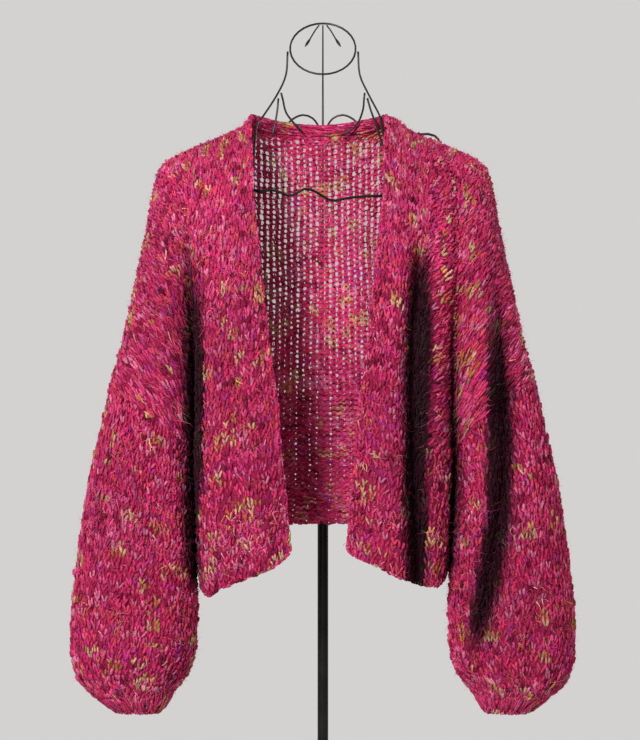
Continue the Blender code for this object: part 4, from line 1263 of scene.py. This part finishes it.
shellThick, laceSeed = 1.4, 90
total = 0
shells, addedTo = {}, {}
for number, (name, plan) in enumerate(plans.items()):
    lace = name == "back"
    shell = clothShell(
        name + "_ground", [domains[key] for key in outsides[name]], finishes["lace" if lace else "cloth"],
        knit["back" if lace else "front"], shellThick, laceSeed if lace else None,
    )
    laid, brushed = [], []
    for step, (key, spec, slant, keep) in enumerate(plan):
        seed = 100 + 10 * number + step
        laid.append(knitStitches(domains[key], knit[spec], slant, seed, keep, lace and key == "backBody"))
        for more, kind in enumerate(fibres):
            brushed.append(brushedFibres(domains[key], kind, slant, seed + 500 + 200 * more, keep))
    for step, (key, edge) in enumerate(edges[name]):
        laid.append(edgeStitches(domains[key], edge, 900 + 10 * number + step))
    if name.startswith("sleeve"):
        laid.append(gatheredEnd(domains[name], 990 + number))
    kinds = (("_stitches", strand, laid, "yarn"), ("_fibres", hair, brushed, "fuzz"))
    pieces = [
        joinedCopies(name + suffix, shape, *(np.concatenate(part) for part in zip(*made)), finishes[look])
        for suffix, shape, made, look in kinds
    ]
    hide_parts(name)
    shells[name], addedTo[name] = shell, pieces
    count = sum(triangleCount(piece) for piece in (*pieces, shell))
    total += count
    print("knitted", name, count, "triangles")

laid, colors = purlStitches(domains["backBody"], knit["back"], 61, lambda a, b: (a > 0.02) & (a < 0.98))
purl = joinedCopies("back_purl", strand, laid, colors, finishes["yarn"])
addedTo["back"].append(purl)
total += triangleCount(purl)

neckLength, cuffLength = 190, 150
wound = {
    "neck_band": (bandPoint, neckLength, math.pi, bound["bandStrand"], False, 71),
    "cuff_left": (cuffPoint(left), cuffLength, 2 * math.pi, bound["cuffStrand"], True, 72),
    "cuff_right": (cuffPoint(right), cuffLength, 2 * math.pi, bound["cuffStrand"], True, 73),
}
for name, made in wound.items():
    laid, colors = woundStrands(*made)
    piece = joinedCopies(name + "_strands", strand, laid, colors, finishes["yarn"])
    nodes[name].data.materials.clear()
    nodes[name].data.materials.append(finishes["edge"])
    total += triangleCount(piece)
print("bound the edges, triangles in all:", total)


# painted wires and stand
paleGain, paleLift = 1.9, 0.006


def paintedFinish(name, color, roughness, metallic):
    finish = Finish(name)
    pale = tuple(value * paleGain + paleLift for value in color)
    shade = finish.ramp(((0.35, color), (0.75, pale)), finish.noise(38, 5))
    finish.set(Base_Color=shade, Roughness=(finish.noise(90, 3) - 0.5) * 0.3 + roughness, Metallic=metallic)
    finish.set(Normal=finish.bump(finish.noise(900, 2), 0.15, 0.0004))
    return finish.material


paint = {
    "wire": paintedFinish("black_wire_lacquer", (0.034, 0.035, 0.037), 0.36, 0.5),
    "stand": paintedFinish("black_stand_lacquer", (0.012, 0.012, 0.013), 0.3, 0.5),
}
# the wires that show are drawn in as thin as in the photo, the rod by a share of its width
fineWire = {"less": 0.0003, "rodShare": 0.58}
standNodes = ("base_plate", "pole_collar", "pole", "chest_wave")


def finerWire(name):
    wire = bmesh.new()
    wire.from_mesh(nodes[name].data)
    bmesh.ops.remove_doubles(wire, verts=wire.verts, dist=1e-6)
    if name == "neck_rod":
        bmesh.ops.scale(wire, vec=(fineWire["rodShare"], fineWire["rodShare"], 1), verts=wire.verts)
    mesh = bpy.data.meshes.new(name + "_fine")
    wire.to_mesh(mesh)
    wire.free()
    piece = pieceFrom(name + "_fine", mesh, paint["wire"])
    if name != "neck_rod":
        slim = piece.modifiers.new("slim", "DISPLACE")
        slim.strength, slim.mid_level = -fineWire["less"], 0
    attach(piece, "root")
    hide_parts(name)


for name, node in nodes.items():
    if name not in plans and name not in wound:
        node.data.materials.clear()
        node.data.materials.append(paint["stand" if name in standNodes else "wire"])
        if name not in standNodes and not name.startswith("shoulder"):
            finerWire(name)
print("painted the wires and the stand")

# camera, floor and light
view = {"height": 1.118, "distance": 3.29, "across": -0.0034, "lens": 156.6, "sensor": 36}
cameraData = bpy.data.cameras.new("camera")
cameraData.sensor_fit, cameraData.sensor_width, cameraData.lens = "HORIZONTAL", view["sensor"], view["lens"]
camera = linked("camera", cameraData)
camera.location = (view["across"], -view["distance"], view["height"])
camera.rotation_euler = (math.pi / 2, 0, 0)
bpy.context.scene.camera = camera

floorMesh = bpy.data.meshes.new("floor")
bm = bmesh.new()
bmesh.ops.create_circle(bm, cap_ends=True, segments=96, radius=1.2)
bm.to_mesh(floorMesh)
bm.free()
floor = linked("floor", floorMesh)
floorFinish = Finish("pale_floor")
floorFinish.set(Base_Color=(0.62, 0.62, 0.6, 1), Roughness=0.8)
floorMesh.materials.append(floorFinish.material)

light = {
    "backdrop": (0.658, 0.645, 0.637), "fill": 0.46,
    # place, aim, size, power
    "key": ((-1.2, -3.0, 2.5), (0, -0.1, 1.15), 0.8, 76),
    "rim": ((1.8, 1.2, 2.2), (0, 0, 1.1), 1.2, 18),
}
world = bpy.data.worlds.new("studio")
bpy.context.scene.world = world
world.use_nodes = True
sky = world.node_tree
fill = sky.nodes["Background"]
fill.inputs["Color"].default_value = (*light["backdrop"], 1)
fill.inputs["Strength"].default_value = light["fill"]
seen = sky.nodes.new("ShaderNodeBackground")
seen.inputs["Color"].default_value = (*light["backdrop"], 1)
path = sky.nodes.new("ShaderNodeLightPath")
blend = sky.nodes.new("ShaderNodeMixShader")
sky.links.new(path.outputs["Is Camera Ray"], blend.inputs[0])
sky.links.new(fill.outputs[0], blend.inputs[1])
sky.links.new(seen.outputs[0], blend.inputs[2])
sky.links.new(blend.outputs[0], sky.nodes["World Output"].inputs[0])
for name in ("key", "rim"):
    place, aim, size, power = light[name]
    lampData = bpy.data.lights.new(name, "AREA")
    lampData.shape, lampData.size, lampData.energy = "DISK", size, power
    lamp = linked(name, lampData)
    lamp.location = place
    lamp.rotation_euler = (Vector(aim) - Vector(place)).to_track_quat("-Z", "Y").to_euler()
bpy.context.scene.view_settings.view_transform = "Standard"
